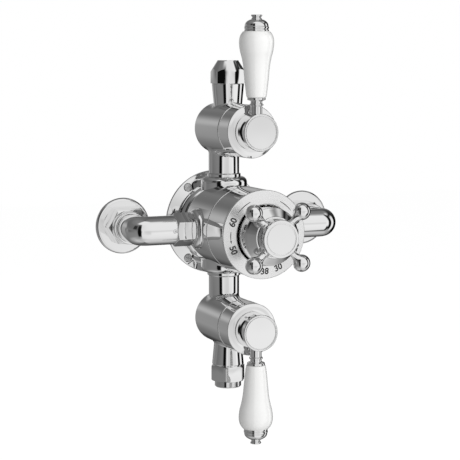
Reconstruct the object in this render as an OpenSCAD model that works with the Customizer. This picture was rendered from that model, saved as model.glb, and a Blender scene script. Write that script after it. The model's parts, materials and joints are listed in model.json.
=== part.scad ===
// Exposed thermostatic shower valve: a round thermostatic body between two flow valves, on wall elbows.
// Frame: +X to the viewer's right, +Z up; the wall is the plane y = 0 and the valve stands in front of it.
// The origin is on the body's axis at the wall. Depths are measured from the wall, towards the user.

/* [Layout] */
// Distance between the hot and cold inlet centres
inlet_centres = 150; // [145:1:165]
// Distance from the body's axis to each flow valve's axis
valve_rise = 73; // [72:0.5:82]
// Depth of the two arms' axis
arm_depth = 41.5; // [40:0.5:44]
// Depth of the axis of the necks that carry the flow valves
neck_depth = 20.7; // [20.5:0.1:22]
// Depth of the two outlets' axis
outlet_depth = 28.5; // [27:0.5:30]

/* [Wall plate and flanges] */
// Radius of the wall plate
plate_r = 39.9; // [39:0.1:44]
// Thickness of the wall plate
plate_t = 3.5; // [3:0.1:4]
// Distance of the plate's screws from its edge
screw_inset = 4.7; // [4.2:0.1:5.2]
// Angle of the screws above and below the horizontal
screw_angle = 50.7; // [46:0.1:55]
// Radius of a screw's head
screw_head_r = 2.85; // [2.4:0.05:3.1]
// Height of a screw's head
screw_head_h = 1.4; // [1.2:0.1:2]
// Radius of a screw's shank
screw_shank_r = 1.9; // [1.5:0.1:2]
// Radius of the cover flange at each inlet
flange_r = 21.2; // [19:0.1:26]
// Thickness of each cover flange
flange_t = 3.5; // [3:0.1:5]

/* [Body] */
// Radius of the body's barrel
barrel_r = 32; // [31.6:0.1:33]
// How much smaller the bead at the foot of the barrel is
base_in = 0.6; // [0.5:0.1:1.5]
// Height of that bead in front of the wall plate
base_h = 11; // [10:0.1:12]
// Width of the groove between bead and barrel
groove_w = 6; // [4:0.1:7]
// Depth that the groove is cut below the barrel
groove_deep = 3.6; // [2:0.1:4.5]
// How far the barrel reaches in front of the arms' axis
barrel_reach = 22; // [22:0.5:25]
// Radius of the bosses for the necks
neck_boss_r = 17.6; // [17:0.1:18]
// How far the bosses for the necks rise above the barrel
neck_boss_rise = 4.6; // [3:0.1:5.5]
// Radius of the bosses for the arms
arm_boss_r = 14.5; // [13.8:0.1:15]
// How far the bosses for the arms stand out of the barrel
arm_boss_rise = 2.9; // [2:0.1:5]

/* [Front cover and dial] */
// Length of the front cover
cover_len = 29.2; // [28:0.1:32]
// Wall of the front cover
cover_wall = 4.5; // [3:0.1:4.5]
// How far the dial plate stands out around the cover
dial_lip = 0.3; // [0:0.1:1]
// Thickness of the dial plate
dial_t = 4; // [3:0.1:5]
// Clearance around the handle's bell in the dial's opening
opening_gap = 0.9; // [0.7:0.1:1.5]

/* [Temperature handle] */
// Radius of the handle's bell
bell_r = 20.9; // [20.3:0.1:21.2]
// How far the bell's rounded edge stands in front of the dial
bell_rise = 12; // [11:0.1:13]
// How far the handle's cap stands in front of the dial
handle_rise = 27.9; // [27:0.1:30]
// Radius of the handle's neck
hub_r = 13.8; // [13:0.1:14.5]
// Radius of the handle's cap
handle_cap_r = 13.5; // [12.8:0.1:13.8]
// Distance from the handle's axis to the centre of each arm's ball
ball_reach = 26.2; // [25:0.1:30]
// Radius of each ball
ball_r = 6.25; // [5.5:0.05:6.5]
// Radius of each arm at its waist
arm_waist_r = 2.4; // [2.2:0.05:3]
// Turn from the marked temperature to the coldest setting
turn_to_cold = 120; // [90:5:130]
// Turn from the marked temperature to the hottest setting
turn_to_hot = 90; // [60:5:110]

/* [Flow valves] */
// Radius of a flow valve's barrel
valve_r = 19.3; // [19:0.1:20]
// Depth of the back of that barrel
valve_back = 7.7; // [7:0.1:8]
// Depth of the seam between barrel and bonnet
valve_seam = 54.5; // [54:0.5:56]
// Radius of the bonnet
bonnet_r = 19.5; // [19.2:0.1:20.5]
// Length of the bonnet
bonnet_len = 19.9; // [19:0.1:21]
// Radius of the lever's knob
knob_r = 13.55; // [13:0.05:14.5]
// Length of the knob
knob_len = 15.3; // [15:0.1:17]
// Radius of the necks between body and flow valves
neck_r = 11.6; // [11:0.1:12]
// Radius of the collar at the foot of each neck
neck_collar_r = 12.7; // [12.1:0.1:14]

/* [Levers] */
// Radius of the lever's stem
stem_r = 4.2; // [3.8:0.1:4.8]
// Distance from the flow valve's axis to the foot of the grip
grip_start = 25.1; // [24:0.1:27]
// Length of the china grip
grip_len = 47.1; // [42:0.1:55]
// Largest radius of the grip
grip_r = 12.6; // [11:0.1:14]
// Length of the domed cap on the grip
dome_len = 8; // [7.5:0.1:10]
// Length of the button on the cap
button_len = 5; // [4:0.1:7]
// Radius of the button
button_r = 4.6; // [3.5:0.1:5.5]

/* [Arms] */
// Radius of the elbows' tube
tube_r = 10.7; // [10.2:0.05:10.8]
// Radius of the elbows' bend, at the tube's centre line
bend_r = 12; // [11:0.1:13]
// Size across flats of the union nuts
union_flats = 21.9; // [21.7:0.1:23]
// Length of the union nuts
union_len = 15; // [14.5:0.1:17]
// Size across flats of the nuts at the wall
wall_nut_flats = 25.1; // [24:0.1:28]
// Length of the nuts at the wall
wall_nut_len = 9; // [8:0.1:9.5]
// Bore of the inlets, for a 15 mm supply pipe
inlet_bore_r = 7.6; // [7.2:0.05:8]
// Depth of that bore
inlet_bore_len = 20; // [18:0.5:22]

/* [Outlets] */
// Radius of an outlet spigot where it leaves the flow valve
spigot_r = 10.4; // [10:0.1:11]
// Radius of that spigot under its nut
spigot_end_r = 12.1; // [11.6:0.1:12.6]
// Distance from the flow valve's axis to the spigot's end
spigot_len = 34.2; // [33:0.1:38]
// Bore for the 15 mm riser pipe
riser_bore_r = 7.6; // [7.2:0.05:7.8]
// Size across flats of the riser's cone nut
cone_nut_flats = 25.4; // [25:0.1:27]
// Largest radius of that nut
cone_nut_r = 13.5; // [13.2:0.05:14]
// Length of that nut
cone_nut_len = 17.2; // [16.5:0.1:20]
// Size across flats of the lower outlet's adapter
adapter_flats = 24; // [23:0.1:27]
// Length of the adapter's hexagon
adapter_len = 12.2; // [11:0.1:15]
// Radius of the adapter's threaded tail
tail_r = 10.2; // [9.5:0.05:10.5]
// Length of that tail
tail_len = 5.3; // [4.5:0.1:12]

/* [Hidden] */

// Small gaps and the overrun of every cut
fit = 0.1;          // between pieces that are screwed or pushed together
run = 0.06;         // between pieces that turn or slide in each other
gap = 0.4;          // between pieces that move past each other
over = 1;           // how far a cut runs past the face that it opens
edge = 0.5;         // broken edges

// Depths along the body's axis
groove_back = plate_t + base_h;
barrel_back = groove_back + groove_w;
body_seam = arm_depth + barrel_reach;
cover_front = body_seam + cover_len;
dial_face = cover_front + dial_t;
dial_r = barrel_r + dial_lip;
opening_r = bell_r + opening_gap;
handle_face = dial_face + handle_rise;
bell_front = dial_face + bell_rise;

// Wall plate: its rim, and the body's foot that it holds
screw_ring_r = plate_r - screw_inset;
rim_w = 1.6;
rim_drop = 0.5;
foot_in = 11.2;
foot_r = screw_ring_r - foot_in;
slot_w = 0.8;
slot_deep = 0.7;

// Body: the boss for each neck is cut off just clear of the plate
boss_gap = 0.3;
neck_boss_top = barrel_r + neck_boss_rise;
head_clear = 0.9;
base_r = min(barrel_r - base_in, screw_ring_r - screw_head_r - head_clear);
arm_face = barrel_r + arm_boss_rise;
boss_edge = 1.6;
undercut_h = 1.8;
undercut_deep = 1.2;
back_edge = 2.2;
flare_r = 4;
water_r = 6.5;
socket_r = 9.6;
socket_len = 10;
chamber_in = 2;
chamber_reach = 7.7;
inlet_r = 7;

// Thermostatic cartridge, from its back at the rear chamber to the lock nut
front_ring_wall = 3.8;
front_ring_len = 5.5;
front_ring_r = barrel_r - cover_wall - fit;
lock_head_gap = 1.2;
lock_head_r = front_ring_r - front_ring_wall - lock_head_gap;
lock_land = 3;
sleeve_flange_r = lock_head_r - lock_land;
sleeve_land = 2;
sleeve_r = sleeve_flange_r - sleeve_land;
sleeve_wall = 2.4;
sleeve_bore_r = sleeve_r - sleeve_wall;
chamber_r = sleeve_bore_r - chamber_in;
sleeve_tail = 10.5;
sleeve_len = 27;
sleeve_flange_t = 3;
sleeve_floor = 2;
sleeve_back = arm_depth - sleeve_tail;
sleeve_front = sleeve_back + sleeve_len;
port_r = 4.5;
flow_hole_r = 2.2;
flow_inset = 1.8;
flow_ring_r = sleeve_bore_r - flow_hole_r - flow_inset;
flow_holes = 6;
ring_wire_r = 0.85;
ring_groove_w = 2;
shuttle_len = 8;
shuttle_back = arm_depth - 3.5;
wax_r = 6;
wax_front_len = 12;
wax_pin_r = 2.5;
wax_rod_r = 3;
wax_rod_len = 16;
wax_tail_len = 7;
web_t = 2.4;
shuttle_wall = 2.4;
shuttle_hole_share = 0.33;
shuttle_room = sleeve_bore_r - shuttle_wall - wax_r;
spring_shares = [0.2424, 1 / 12];
spring_r = wax_r + shuttle_room * spring_shares[0];
spring_wire_r = shuttle_room * spring_shares[1];
spring_turns = 3;
spring_sides = 6;
spring_rings = 16;

// Lock nut, stop ring and temperature spindle
lock_head_len = 4.5;
lock_key_w = 4;
lock_key_deep = 2.5;
lock_nose_r = 12;
lock_nose_len = 18;
spindle_foot_r = 7;
spindle_foot_len = 13;
spindle_foot_set = 1;
spindle_r = 5;
spindle_set = 12.6;
spindle_front = handle_face - spindle_set;
spindle_hole_len = 11;
bell_wall = 2.9;
stop_gap = 0.6;
stop_lug_r = bell_r - bell_wall - stop_gap;
stop_lug_h = 1.9;
stop_r = stop_lug_r - stop_lug_h;
stop_len = 5;
stop_inset = 1;
hub_lug_in = 2;
hub_lug_angle = 30;
stop_margin = 1;

// Handle: a bell over the opening, a neck with four arms, and a cap
bell_clear = 12;
bell_round = 2;
shoulder_len = 2.8;
hub_core_r = 8;
hub_core_len = 16;
cap_t = 2.4;
cap_rim_w = 2.3;
cap_rim_deep = 0.4;
cap_plug_len = 3.2;
recess_r = 5;
screw_recess_len = 8.2;
arm_set = 5.8;
arm_root = 8;
arm_thread_r = 2;
arm_waist_end = 16.4;
arm_depth_on_handle = handle_face - arm_set;
handle_screw_head_r = 4.4;
handle_screw_head_h = 2.6;
handle_screw_r = 2.4;
handle_screw_len = 12;

// Flow valves: the barrel's inside, its cartridge and its bonnet
valve_back_edge = 2;
valve_water_r = 8.5;
valve_floor = 4.3;
seat_depth = outlet_depth - 1;
valve_bore_r = 13;
nozzle_r = 16.4;
nozzle_len = 5;
bonnet_skirt_len = 7;
bonnet_front_t = 3.5;
bonnet_room_r = 15.8;
bonnet_hole_r = 6;
bonnet_seam_w = 0.4;
cartridge_flange_t = 1.5;
cartridge_flange_r = 15.5;
cartridge_hex_flats = 20;
cartridge_hex_len = 5.5;
cartridge_room_r = 10.7;
cartridge_room_len = 12;
window_w = 9;
window_len = 5;
seal_bore_r = 6;
seal_t = 2;
disc_r = 10.3;
disc_t = 3;
disc_rim = 1.3;
disc_port_angle = 80;
disc_gap = 0.05;
dog_r = 7.6;
dog_t = 2.4;
valve_spindle_r = 4;
knob_gap = 0.4;
lever_set = 6.2;
knob_edge = 0.7;
knob_cap_rim = 1.2;
knob_cap_t = 2;
knob_recess_r = 4.3;
knob_recess_len = 2.2;
knob_wall = 1.8;
knob_screw_head_r = 3.7;
knob_screw_r = 1.9;
knob_screw_len = 9;
outlet_port_r = 3.6;
outlet_port_set = 4.5;

// Neck: collar, and the spigot that enters the body's boss
neck_collar_h = 2.3;
neck_flare = 3;
neck_spigot_r = 9.5;
neck_spigot_len = 9.4;

// Lever
stem_root = 8;
stem_thread_r = 2.9;
stem_seat = 12.9;
stem_collar_r = 6.6;
stem_collar_h = 1.9;
stem_bead_r = 5;
stem_bead_set = 3.4;
tie_r = 2;
tie_end = 1.8;
grip_bore_r = 2.4;
dome_base_r = 9.6;
button_neck_r = 3.2;
button_pin_r = 1.5;
button_pin_len = 3;

// Shares of the grip's length and of its largest radius, from its foot to its top
grip_length_shares = [0, 0.03, 0.15, 0.31, 0.43, 0.53, 0.62, 0.7, 0.785, 0.86, 0.925, 0.967, 1];
grip_radius_shares = [0.55, 0.587, 0.643, 0.706, 0.745, 0.795, 0.865, 0.945, 0.992, 1, 0.952, 0.873, 0.778];
// Shares of the dome's length and base radius
dome_length_shares = [0, 0.16, 0.2, 0.34, 0.38, 0.55, 0.75, 0.92, 1];
dome_radius_shares = [1, 1, 0.94, 0.94, 0.98, 0.96, 0.91, 0.84, 0.74];

// Elbows: collars behind the nut, and the tail that the union nut holds
elbow_ring_r = 12.5;
elbow_ring_len = 4.6;
elbow_step_r = 12;
elbow_step_len = 4.4;
elbow_groove_r = 10.1;
elbow_groove_len = 2.4;
elbow_tail_r = 8;
elbow_collar_r = 9;
elbow_collar_len = 2;
nipple_r = 9;
nipple_len = 8.1;
washer_t = 1.2;
washer_bore_r = 6.6;
mesh_t = 0.4;
mesh_hole_r = 0.8;
mesh_ring_r = 4;
mesh_holes = 8;
lip_len = 3.5;
check_len = 18;
check_bore_r = 4.2;
check_lip_len = 2;

// Outlets: threads, the olive and the cone of the riser's nut
outlet_thread_r = 10.3;
outlet_thread_len = 8.2;
outlet_stop_len = 8;
lower_outlet_r = 7;
olive_len = 4.2;
olive_edge = 1.3;
olive_r = 9.6;
cone_top_r = 9.3;
cone_share = 0.56;
nut_bore_r = outlet_thread_r + fit;

// Places that several pieces share
spigot_end = valve_rise + spigot_len;
bonnet_front = valve_seam + bonnet_len;
knob_back = bonnet_front + knob_gap;
knob_front = knob_back + knob_len;
lever_depth = knob_back + lever_set;
grip_end = grip_start + grip_len;
dome_end = grip_end + dome_len;
cartridge_end = valve_seam + nozzle_len;
tail_start = arm_face + union_len;
collar_end = arm_face + nipple_len + washer_t;
valve_spindle_front = knob_front - knob_cap_t - knob_recess_len - knob_wall;

$fn = 64;

// Turns depth into distance along +Z of the child, for a part whose axis is at x, z
module out(x = 0, z = 0) translate([x, 0, z]) rotate([90, 0, 0]) children();
// A round solid between two depths
module rod(r, from, to) translate([0, 0, from]) cylinder(r = r, h = to - from);
// A round solid with broken edges
module drum(r, from, to, e = edge) rotate_extrude()
    polygon([[0, from], [r - e, from], [r, from + e], [r, to - e], [r - e, to], [0, to]]);
// A ring between two radii and two depths
module ring(r, bore, from, to) difference() {
    rod(r, from, to);
    rod(bore, from - over, to + over);
}
// A hexagonal bar, with a corner on the local X axis
module hex(flats, from, to) translate([0, 0, from]) cylinder(r = flats / sqrt(3), h = to - from, $fn = 6);
// The children to the left and right, the right one as drawn
module left() mirror([1, 0, 0]) children();
module both() { children(); left() children(); }
// The upper form as drawn and the lower one as its mirror image
module lower() mirror([0, 0, 1]) children();
// A point on a smooth curve through the points p, at span i and share t of that span
function curve(p, i, t) = let (
    a = p[max(i - 1, 0)], b = p[i], c = p[i + 1], d = p[min(i + 2, len(p) - 1)])
    (2 * b + (c - a) * t + (2 * a - 5 * b + 4 * c - d) * t * t + (3 * b - a - 3 * c + d) * t * t * t) / 2;
function smooth(p, steps) = concat(
    [for (i = [0 : len(p) - 2], k = [0 : steps - 1]) curve(p, i, k / steps)], [p[len(p) - 1]]);

// Wall plate with its raised rim, four screw holes and the hole for the body's foot
module wall_plate() color("silver") out() difference() {
    rotate_extrude() polygon([
        [foot_r + fit, 0], [plate_r - edge, 0], [plate_r, edge], [plate_r, plate_t - rim_drop - edge],
        [plate_r - edge, plate_t - edge], [plate_r - rim_w, plate_t], [foot_r + fit, plate_t]]);
    plate_screw_places() rod(screw_shank_r + fit, -over, plate_t + over);
}
module plate_screw_places() for (turn = [screw_angle, 180 - screw_angle, 180 + screw_angle, -screw_angle])
    rotate(turn) translate([screw_ring_r, 0, 0]) rotate(-turn) children();
// Slotted screws with low domed heads, cut off at the wall
module wall_plate_screws() color("gainsboro") out() plate_screw_places() difference() {
    union() {
        rod(screw_shank_r, 0, plate_t);
        rotate_extrude() polygon([
            [0, plate_t], [screw_head_r, plate_t], [screw_head_r, plate_t + screw_head_h / 2],
            [screw_head_r - edge, plate_t + screw_head_h], [0, plate_t + screw_head_h]]);
    }
    translate([-screw_head_r - over, -slot_w / 2, plate_t + screw_head_h - slot_deep])
        cube([2 * (screw_head_r + over), slot_w, slot_deep + over]);
}

// Cover flange at an inlet
module flange() color("silver") out(inlet_centres / 2) rotate_extrude() polygon([
    [tube_r + 2 * fit, 0], [flange_r - edge, 0], [flange_r, edge], [flange_r, flange_t - rim_drop - edge],
    [flange_r - edge, flange_t - edge], [flange_r - rim_w, flange_t], [tube_r + 2 * fit, flange_t]]);

// Hexagonal nut that holds the flange to the wall
wall_nut_end = flange_t + wall_nut_len;
nut_chamfer = 1.3;
module wall_nut() color("lightgray") out(inlet_centres / 2) difference() {
    intersection() {
        hex(wall_nut_flats, flange_t, wall_nut_end);
        drum(wall_nut_flats / sqrt(3), flange_t - edge, wall_nut_end, nut_chamfer);
    }
    rod(tube_r + 2 * fit, flange_t - over, wall_nut_end + over);
}

// Elbow: a tube out of the wall, a tight bend and a tail that the union nut holds
bend_start = arm_depth - bend_r;
run_start = inlet_centres / 2 - bend_r;
module elbow() color("silver") difference() {
    union() {
        out(inlet_centres / 2) rotate_extrude() polygon([
            [0, 0], [tube_r, 0], [tube_r, wall_nut_end], [elbow_ring_r - edge, wall_nut_end],
            [elbow_ring_r, wall_nut_end + edge], [elbow_ring_r, wall_nut_end + elbow_ring_len - edge],
            [elbow_step_r, wall_nut_end + elbow_ring_len],
            [elbow_step_r, wall_nut_end + elbow_ring_len + elbow_step_len - edge],
            [elbow_groove_r, wall_nut_end + elbow_ring_len + elbow_step_len],
            [elbow_groove_r, wall_nut_end + elbow_ring_len + elbow_step_len + elbow_groove_len],
            [tube_r, wall_nut_end + elbow_ring_len + elbow_step_len + elbow_groove_len + edge],
            [tube_r, bend_start], [0, bend_start]]);
        bend(tube_r);
        out(inlet_centres / 2) rod(tube_r - edge, bend_start - over, bend_start + over);
        arm_axis() rod(tube_r - edge, run_start - over, run_start + over);
        arm_axis() {
            drum(tube_r, tail_start, run_start, 0);
            rod(elbow_tail_r, collar_end + fit, tail_start + edge);
            rod(elbow_collar_r, collar_end, collar_end + elbow_collar_len);
        }
    }
    out(inlet_centres / 2) {
        rod(inlet_bore_r, -over, inlet_bore_len);
        rod(water_r, inlet_bore_len - over, bend_start);
    }
    bend(water_r);
    out(inlet_centres / 2) rod(water_r - edge, bend_start - over, bend_start + over);
    arm_axis() rod(water_r - edge, run_start - over, run_start + over);
    arm_axis() rod(water_r, collar_end - over, run_start);
}
// The quarter bend between wall stub and arm
module bend(r) translate([run_start, -bend_start, 0]) rotate(-90) rotate_extrude(angle = 90)
    translate([bend_r, 0]) circle(r);
// Local Z runs along the right arm, away from the body
module arm_axis() translate([0, -arm_depth, 0]) rotate([0, 90, 0]) children();

// Union nut with one flat to the front, chamfered at both ends
module union_nut() color("lightgray") arm_axis() difference() {
    intersection() {
        hex(union_flats, arm_face, tail_start);
        drum(union_flats / sqrt(3), arm_face, tail_start, 2 * edge);
    }
    rod(nipple_r + fit, arm_face - over, tail_start - lip_len);
    rod(elbow_tail_r + fit, arm_face, tail_start + over);
}
// Rubber washers with a fine strainer across their bore
module filter_washers() color("dimgray") both() arm_axis() {
    ring(nipple_r, washer_bore_r, arm_face + nipple_len, collar_end);
    difference() {
        rod(washer_bore_r + fit, arm_face + nipple_len + mesh_t, arm_face + nipple_len + 2 * mesh_t);
        rod(mesh_hole_r, arm_face, tail_start);
        for (n = [1, 2], i = [1 : n * mesh_holes]) rotate(360 * i / (n * mesh_holes))
            translate([n * mesh_ring_r * 0.6, 0, 0]) rod(mesh_hole_r, arm_face, tail_start);
    }
}
// Plastic non-return cartridges in the body's two inlets
check_end = arm_face + nipple_len - check_lip_len;
module check_valves() color("white") both() arm_axis() difference() {
    drum(inlet_r - fit, check_end - check_len, check_end);
    rod(check_bore_r, check_end - check_len / 2, check_end + over);
    for (i = [0 : 3]) rotate(90 * i + 45) translate([check_bore_r, 0, 0])
        rod(check_bore_r / 3, check_end - check_len - over, check_end - check_len / 3);
}

// Body casting: foot, bead, groove and barrel, with bosses for the necks and the arms
module body() color("silver") difference() {
    union() {
        out() rotate_extrude() {
            polygon([
                [0, 0], [foot_r, 0], [foot_r, plate_t], [base_r - undercut_deep, plate_t],
                [base_r - undercut_deep, plate_t + undercut_h], [base_r, plate_t + undercut_h + edge],
                [base_r, groove_back - edge], [base_r - edge, groove_back],
                [barrel_r - groove_deep, groove_back], [barrel_r - groove_deep, barrel_back],
                [barrel_r - back_edge, barrel_back], [barrel_r - back_edge, barrel_back + back_edge],
                [barrel_r, barrel_back + back_edge], [barrel_r, body_seam - edge / 2],
                [barrel_r - edge / 2, body_seam], [0, body_seam]]);
            translate([barrel_r - back_edge, barrel_back + back_edge]) circle(back_edge);
        }
        for (side = [1, -1]) scale([1, 1, side]) translate([0, -neck_depth, 0]) neck_boss();
        both() arm_axis() arm_boss();
        out() ring(front_ring_r, front_ring_r - front_ring_wall, body_seam - over,
            body_seam + front_ring_len);
    }
    out() {
        rod(chamber_r, neck_depth - chamber_reach, sleeve_back + over);
        rod(sleeve_r + fit, sleeve_back, body_seam + over);
        rod(sleeve_flange_r + fit, sleeve_front - sleeve_flange_t, body_seam + over);
    }
    translate([0, -neck_depth, 0]) both_ways() {
        cylinder(r = water_r, h = neck_boss_top);
        translate([0, 0, neck_boss_top - socket_len]) cylinder(r = socket_r, h = socket_len + over);
    }
    both() arm_axis() rod(inlet_r, sleeve_bore_r, arm_face + nipple_len + over);
}
module both_ways() { children(); lower() children(); }
// Round boss with a rolled top edge, under each neck
module neck_boss() intersection() {
    rotate_extrude() {
        square([neck_boss_r, neck_boss_top - boss_edge]);
        square([neck_boss_r - boss_edge, neck_boss_top]);
        translate([neck_boss_r - boss_edge, neck_boss_top - boss_edge]) circle(boss_edge);
    }
    before(plate_t + boss_gap) cube([2 * barrel_r, 2 * barrel_r, neck_boss_top]);
}
// Everything in front of a depth, for a part that stands on the necks' axis
module before(depth) translate([-barrel_r, neck_depth - depth - 2 * barrel_r, 0]) children();
// Boss that flows out of the barrel, with the threaded nipple for the union nut
module arm_boss() {
    wide = arm_boss_r + flare_r;
    flare_at = sqrt(pow(barrel_r, 2) - pow(wide, 2)) + flare_r;
    rotate_extrude() difference() {
        polygon([
            [0, sleeve_r], [wide, sleeve_r], [wide, flare_at], [arm_boss_r, flare_at],
            [arm_boss_r, arm_face - edge], [arm_boss_r - edge, arm_face], [nipple_r, arm_face],
            [nipple_r, arm_face + nipple_len], [0, arm_face + nipple_len]]);
        translate([wide, flare_at]) circle(flare_r);
    }
}

// Front cover: a round shell screwed to the body, with the opening for the handle
module front_cover() color("silver") out() difference() {
    drum(barrel_r, body_seam, cover_front, edge / 2);
    rod(barrel_r - cover_wall, body_seam - over, cover_front - cover_wall);
    rod(opening_r, body_seam, cover_front + over);
}
// Dial plate: a flat ring with a stepped edge
module dial_plate() color("whitesmoke") out() rotate_extrude() polygon([
    [opening_r, cover_front], [barrel_r - 2 * edge, cover_front], [barrel_r - 2 * edge, cover_front + edge],
    [dial_r, cover_front + edge], [dial_r, dial_face - 2 * edge], [dial_r - 2 * edge, dial_face],
    [opening_r + edge, dial_face], [opening_r, dial_face - edge]]);

// Mixing sleeve: hot and cold ports at the sides, mixed water leaves through its floor
module mixing_sleeve() color("darkkhaki") out() difference() {
    union() {
        rod(sleeve_r, sleeve_back, sleeve_front);
        rod(sleeve_flange_r, sleeve_front - sleeve_flange_t, sleeve_front);
    }
    rod(sleeve_bore_r, sleeve_back + sleeve_floor, sleeve_front + over);
    rod(wax_pin_r + fit, sleeve_back - over, sleeve_front);
    for (i = [1 : flow_holes]) rotate(360 * i / flow_holes) translate([flow_ring_r, 0, 0])
        rod(flow_hole_r, sleeve_back - over, sleeve_front);
    translate([-sleeve_r - over, 0, arm_depth]) rotate([0, 90, 0])
        cylinder(r = port_r, h = 2 * (sleeve_r + over));
    for (at = ring_places) ring(sleeve_r + over, sleeve_r - 2 * ring_wire_r, at - ring_groove_w / 2,
        at + ring_groove_w / 2);
}
ring_places = [sleeve_back + 1.6 * ring_groove_w, sleeve_front - sleeve_flange_t - 1.6 * ring_groove_w];
// Rubber rings that seal the sleeve in the body
module sleeve_o_rings() color("black") out() for (at = ring_places)
    o_ring(sleeve_r - 2 * ring_wire_r + ring_wire_r + fit / 2, at);
module o_ring(r, at) translate([0, 0, at]) rotate_extrude() translate([r, 0]) circle(ring_wire_r, $fn = 24);

// Lock nut that holds the sleeve, with key slots and the nose that carries the stop ring
lock_head_end = body_seam + lock_head_len;
lock_nose_end = lock_head_end + lock_nose_len;
foot_end = sleeve_front + spindle_foot_set + spindle_foot_len;
module lock_nut() color("goldenrod") out() difference() {
    union() {
        rod(sleeve_flange_r, sleeve_front, body_seam + edge);
        drum(lock_head_r, body_seam, lock_head_end);
        drum(lock_nose_r, lock_head_end - over, lock_nose_end);
    }
    rod(spindle_foot_r + run, sleeve_front - over, foot_end + fit);
    rod(spindle_r + run, sleeve_front, lock_nose_end + over);
    for (i = [0 : 3]) rotate(90 * i) translate([lock_head_r - lock_key_deep, -lock_key_w / 2, body_seam])
        translate([0, 0, edge]) cube([lock_key_deep + over, lock_key_w, lock_head_len + over]);
}
// Stop ring: its lug fills the part of the circle that the handle's lug can't turn through
stop_end = lock_nose_end - stop_inset;
stop_lug_angle = 360 - turn_to_cold - turn_to_hot - hub_lug_angle - 2 * stop_margin;
stop_lug_start = 90 + turn_to_hot + hub_lug_angle / 2 + stop_margin;
module stop_ring() color("ivory") out() difference() {
    union() {
        rod(stop_r, stop_end - stop_len, stop_end);
        sector(stop_lug_r, stop_lug_start, stop_lug_angle, stop_end - stop_len, stop_end);
    }
    rod(lock_nose_r + fit / 2, stop_end - stop_len - over, stop_end + over);
}
// A slice of a disc, from an angle through a turn
module sector(r, start, turn, from, to) translate([0, 0, from]) rotate(start)
    rotate_extrude(angle = turn) square([r, to - from]);

// Temperature spindle: a foot with the thread for the wax element's rod, and a shaft for the handle
module temperature_spindle() color("goldenrod") out() difference() {
    union() {
        rod(spindle_foot_r, sleeve_front + spindle_foot_set, foot_end);
        drum(spindle_r, foot_end - over, spindle_front);
    }
    rod(wax_rod_r + fit, sleeve_front, sleeve_front + spindle_foot_set + spindle_hole_len);
    rod(handle_screw_r + fit, spindle_front - spindle_hole_len, spindle_front + over);
}
// Mixing shuttle: a ring on a web that slides over the ports
module mixing_shuttle() color("khaki") out() difference() {
    rod(sleeve_bore_r - run, shuttle_back, shuttle_back + shuttle_len);
    rod(sleeve_bore_r - shuttle_wall, shuttle_back - over, shuttle_back + (shuttle_len - web_t) / 2);
    rod(sleeve_bore_r - shuttle_wall, shuttle_back + (shuttle_len + web_t) / 2,
        shuttle_back + shuttle_len + over);
    rod(wax_r + fit, shuttle_back - over, shuttle_back + shuttle_len + over);
    for (i = [1 : flow_holes]) rotate(360 * i / flow_holes)
        translate([wax_r + shuttle_room / 2, 0, 0])
        rod(shuttle_room * shuttle_hole_share, shuttle_back - over, shuttle_back + shuttle_len + over);
}
// Wax element: capsule, its tail through the sleeve's floor and its rod in the spindle
module wax_element() color("peru") out() rotate_extrude() polygon([
    [0, shuttle_back - wax_tail_len], [wax_pin_r, shuttle_back - wax_tail_len], [wax_pin_r, shuttle_back],
    [wax_r, shuttle_back + edge], [wax_r, shuttle_back + wax_front_len - edge],
    [wax_rod_r, shuttle_back + wax_front_len], [wax_rod_r, shuttle_back + wax_front_len + wax_rod_len],
    [0, shuttle_back + wax_front_len + wax_rod_len]]);
// Return spring between the sleeve's floor and the shuttle's web
spring_from = sleeve_back + sleeve_floor + spring_wire_r + fit;
spring_to = shuttle_back + (shuttle_len - web_t) / 2 - spring_wire_r - fit;
module return_spring() color("slategray") out() {
    steps = spring_turns * spring_rings;
    points = [for (i = [0 : steps], k = [0 : spring_sides - 1]) let (
        turn = 360 * i / spring_rings, at = spring_from + (spring_to - spring_from) * i / steps,
        r = spring_r + spring_wire_r * cos(360 * k / spring_sides))
        [r * cos(turn), r * sin(turn), at + spring_wire_r * sin(360 * k / spring_sides)]];
    walls = [for (i = [0 : steps - 1], k = [0 : spring_sides - 1]) let (
        a = i * spring_sides + k, b = i * spring_sides + (k + 1) % spring_sides)
        [a, b, b + spring_sides, a + spring_sides]];
    polyhedron(points, concat([[for (k = [spring_sides - 1 : -1 : 0]) k]], walls,
        [[for (k = [0 : spring_sides - 1]) steps * spring_sides + k]]));
}

// Handle hub: bell, sloping shoulder and neck, with the lug that meets the stop ring
bell_back = lock_head_end + bell_clear;
hub_core_back = bell_front - hub_core_len;
shoulder_front = bell_front + shoulder_len;
module handle_hub() color("silver") out() difference() {
    union() {
        difference() {
            rotate_extrude() {
                polygon([
                    [0, bell_back], [bell_r - edge, bell_back], [bell_r, bell_back + edge],
                    [bell_r, bell_front - bell_round], [bell_r - bell_round, bell_front],
                    [hub_r + 2 * edge, shoulder_front - edge], [hub_r + 2 * edge, shoulder_front],
                    [hub_r, shoulder_front], [handle_cap_r, handle_face - cap_t], [0, handle_face - cap_t]]);
                translate([bell_r - bell_round, bell_front - bell_round]) circle(bell_round);
            }
            rod(bell_r - bell_wall, bell_back - over, bell_front - bell_round);
        }
        sector(bell_r - bell_wall + fit, 90 - hub_lug_angle / 2, hub_lug_angle,
            bell_back + edge, stop_end - edge);
        rod(hub_core_r, hub_core_back, bell_front);
    }
    rod(bell_r - bell_wall - hub_lug_in, bell_back - over, stop_end + gap);
    rod(spindle_r + fit / 2, bell_back, spindle_front + fit);
    rod(handle_screw_r + fit, bell_back, handle_face);
    rod(recess_r, handle_face - cap_t - screw_recess_len, handle_face);
    for (turn = [45 : 90 : 315]) rotate(turn) translate([0, 0, arm_depth_on_handle]) rotate([0, 90, 0])
        translate([0, 0, arm_root - edge]) cylinder(r = arm_thread_r + fit, h = hub_r);
}
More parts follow.
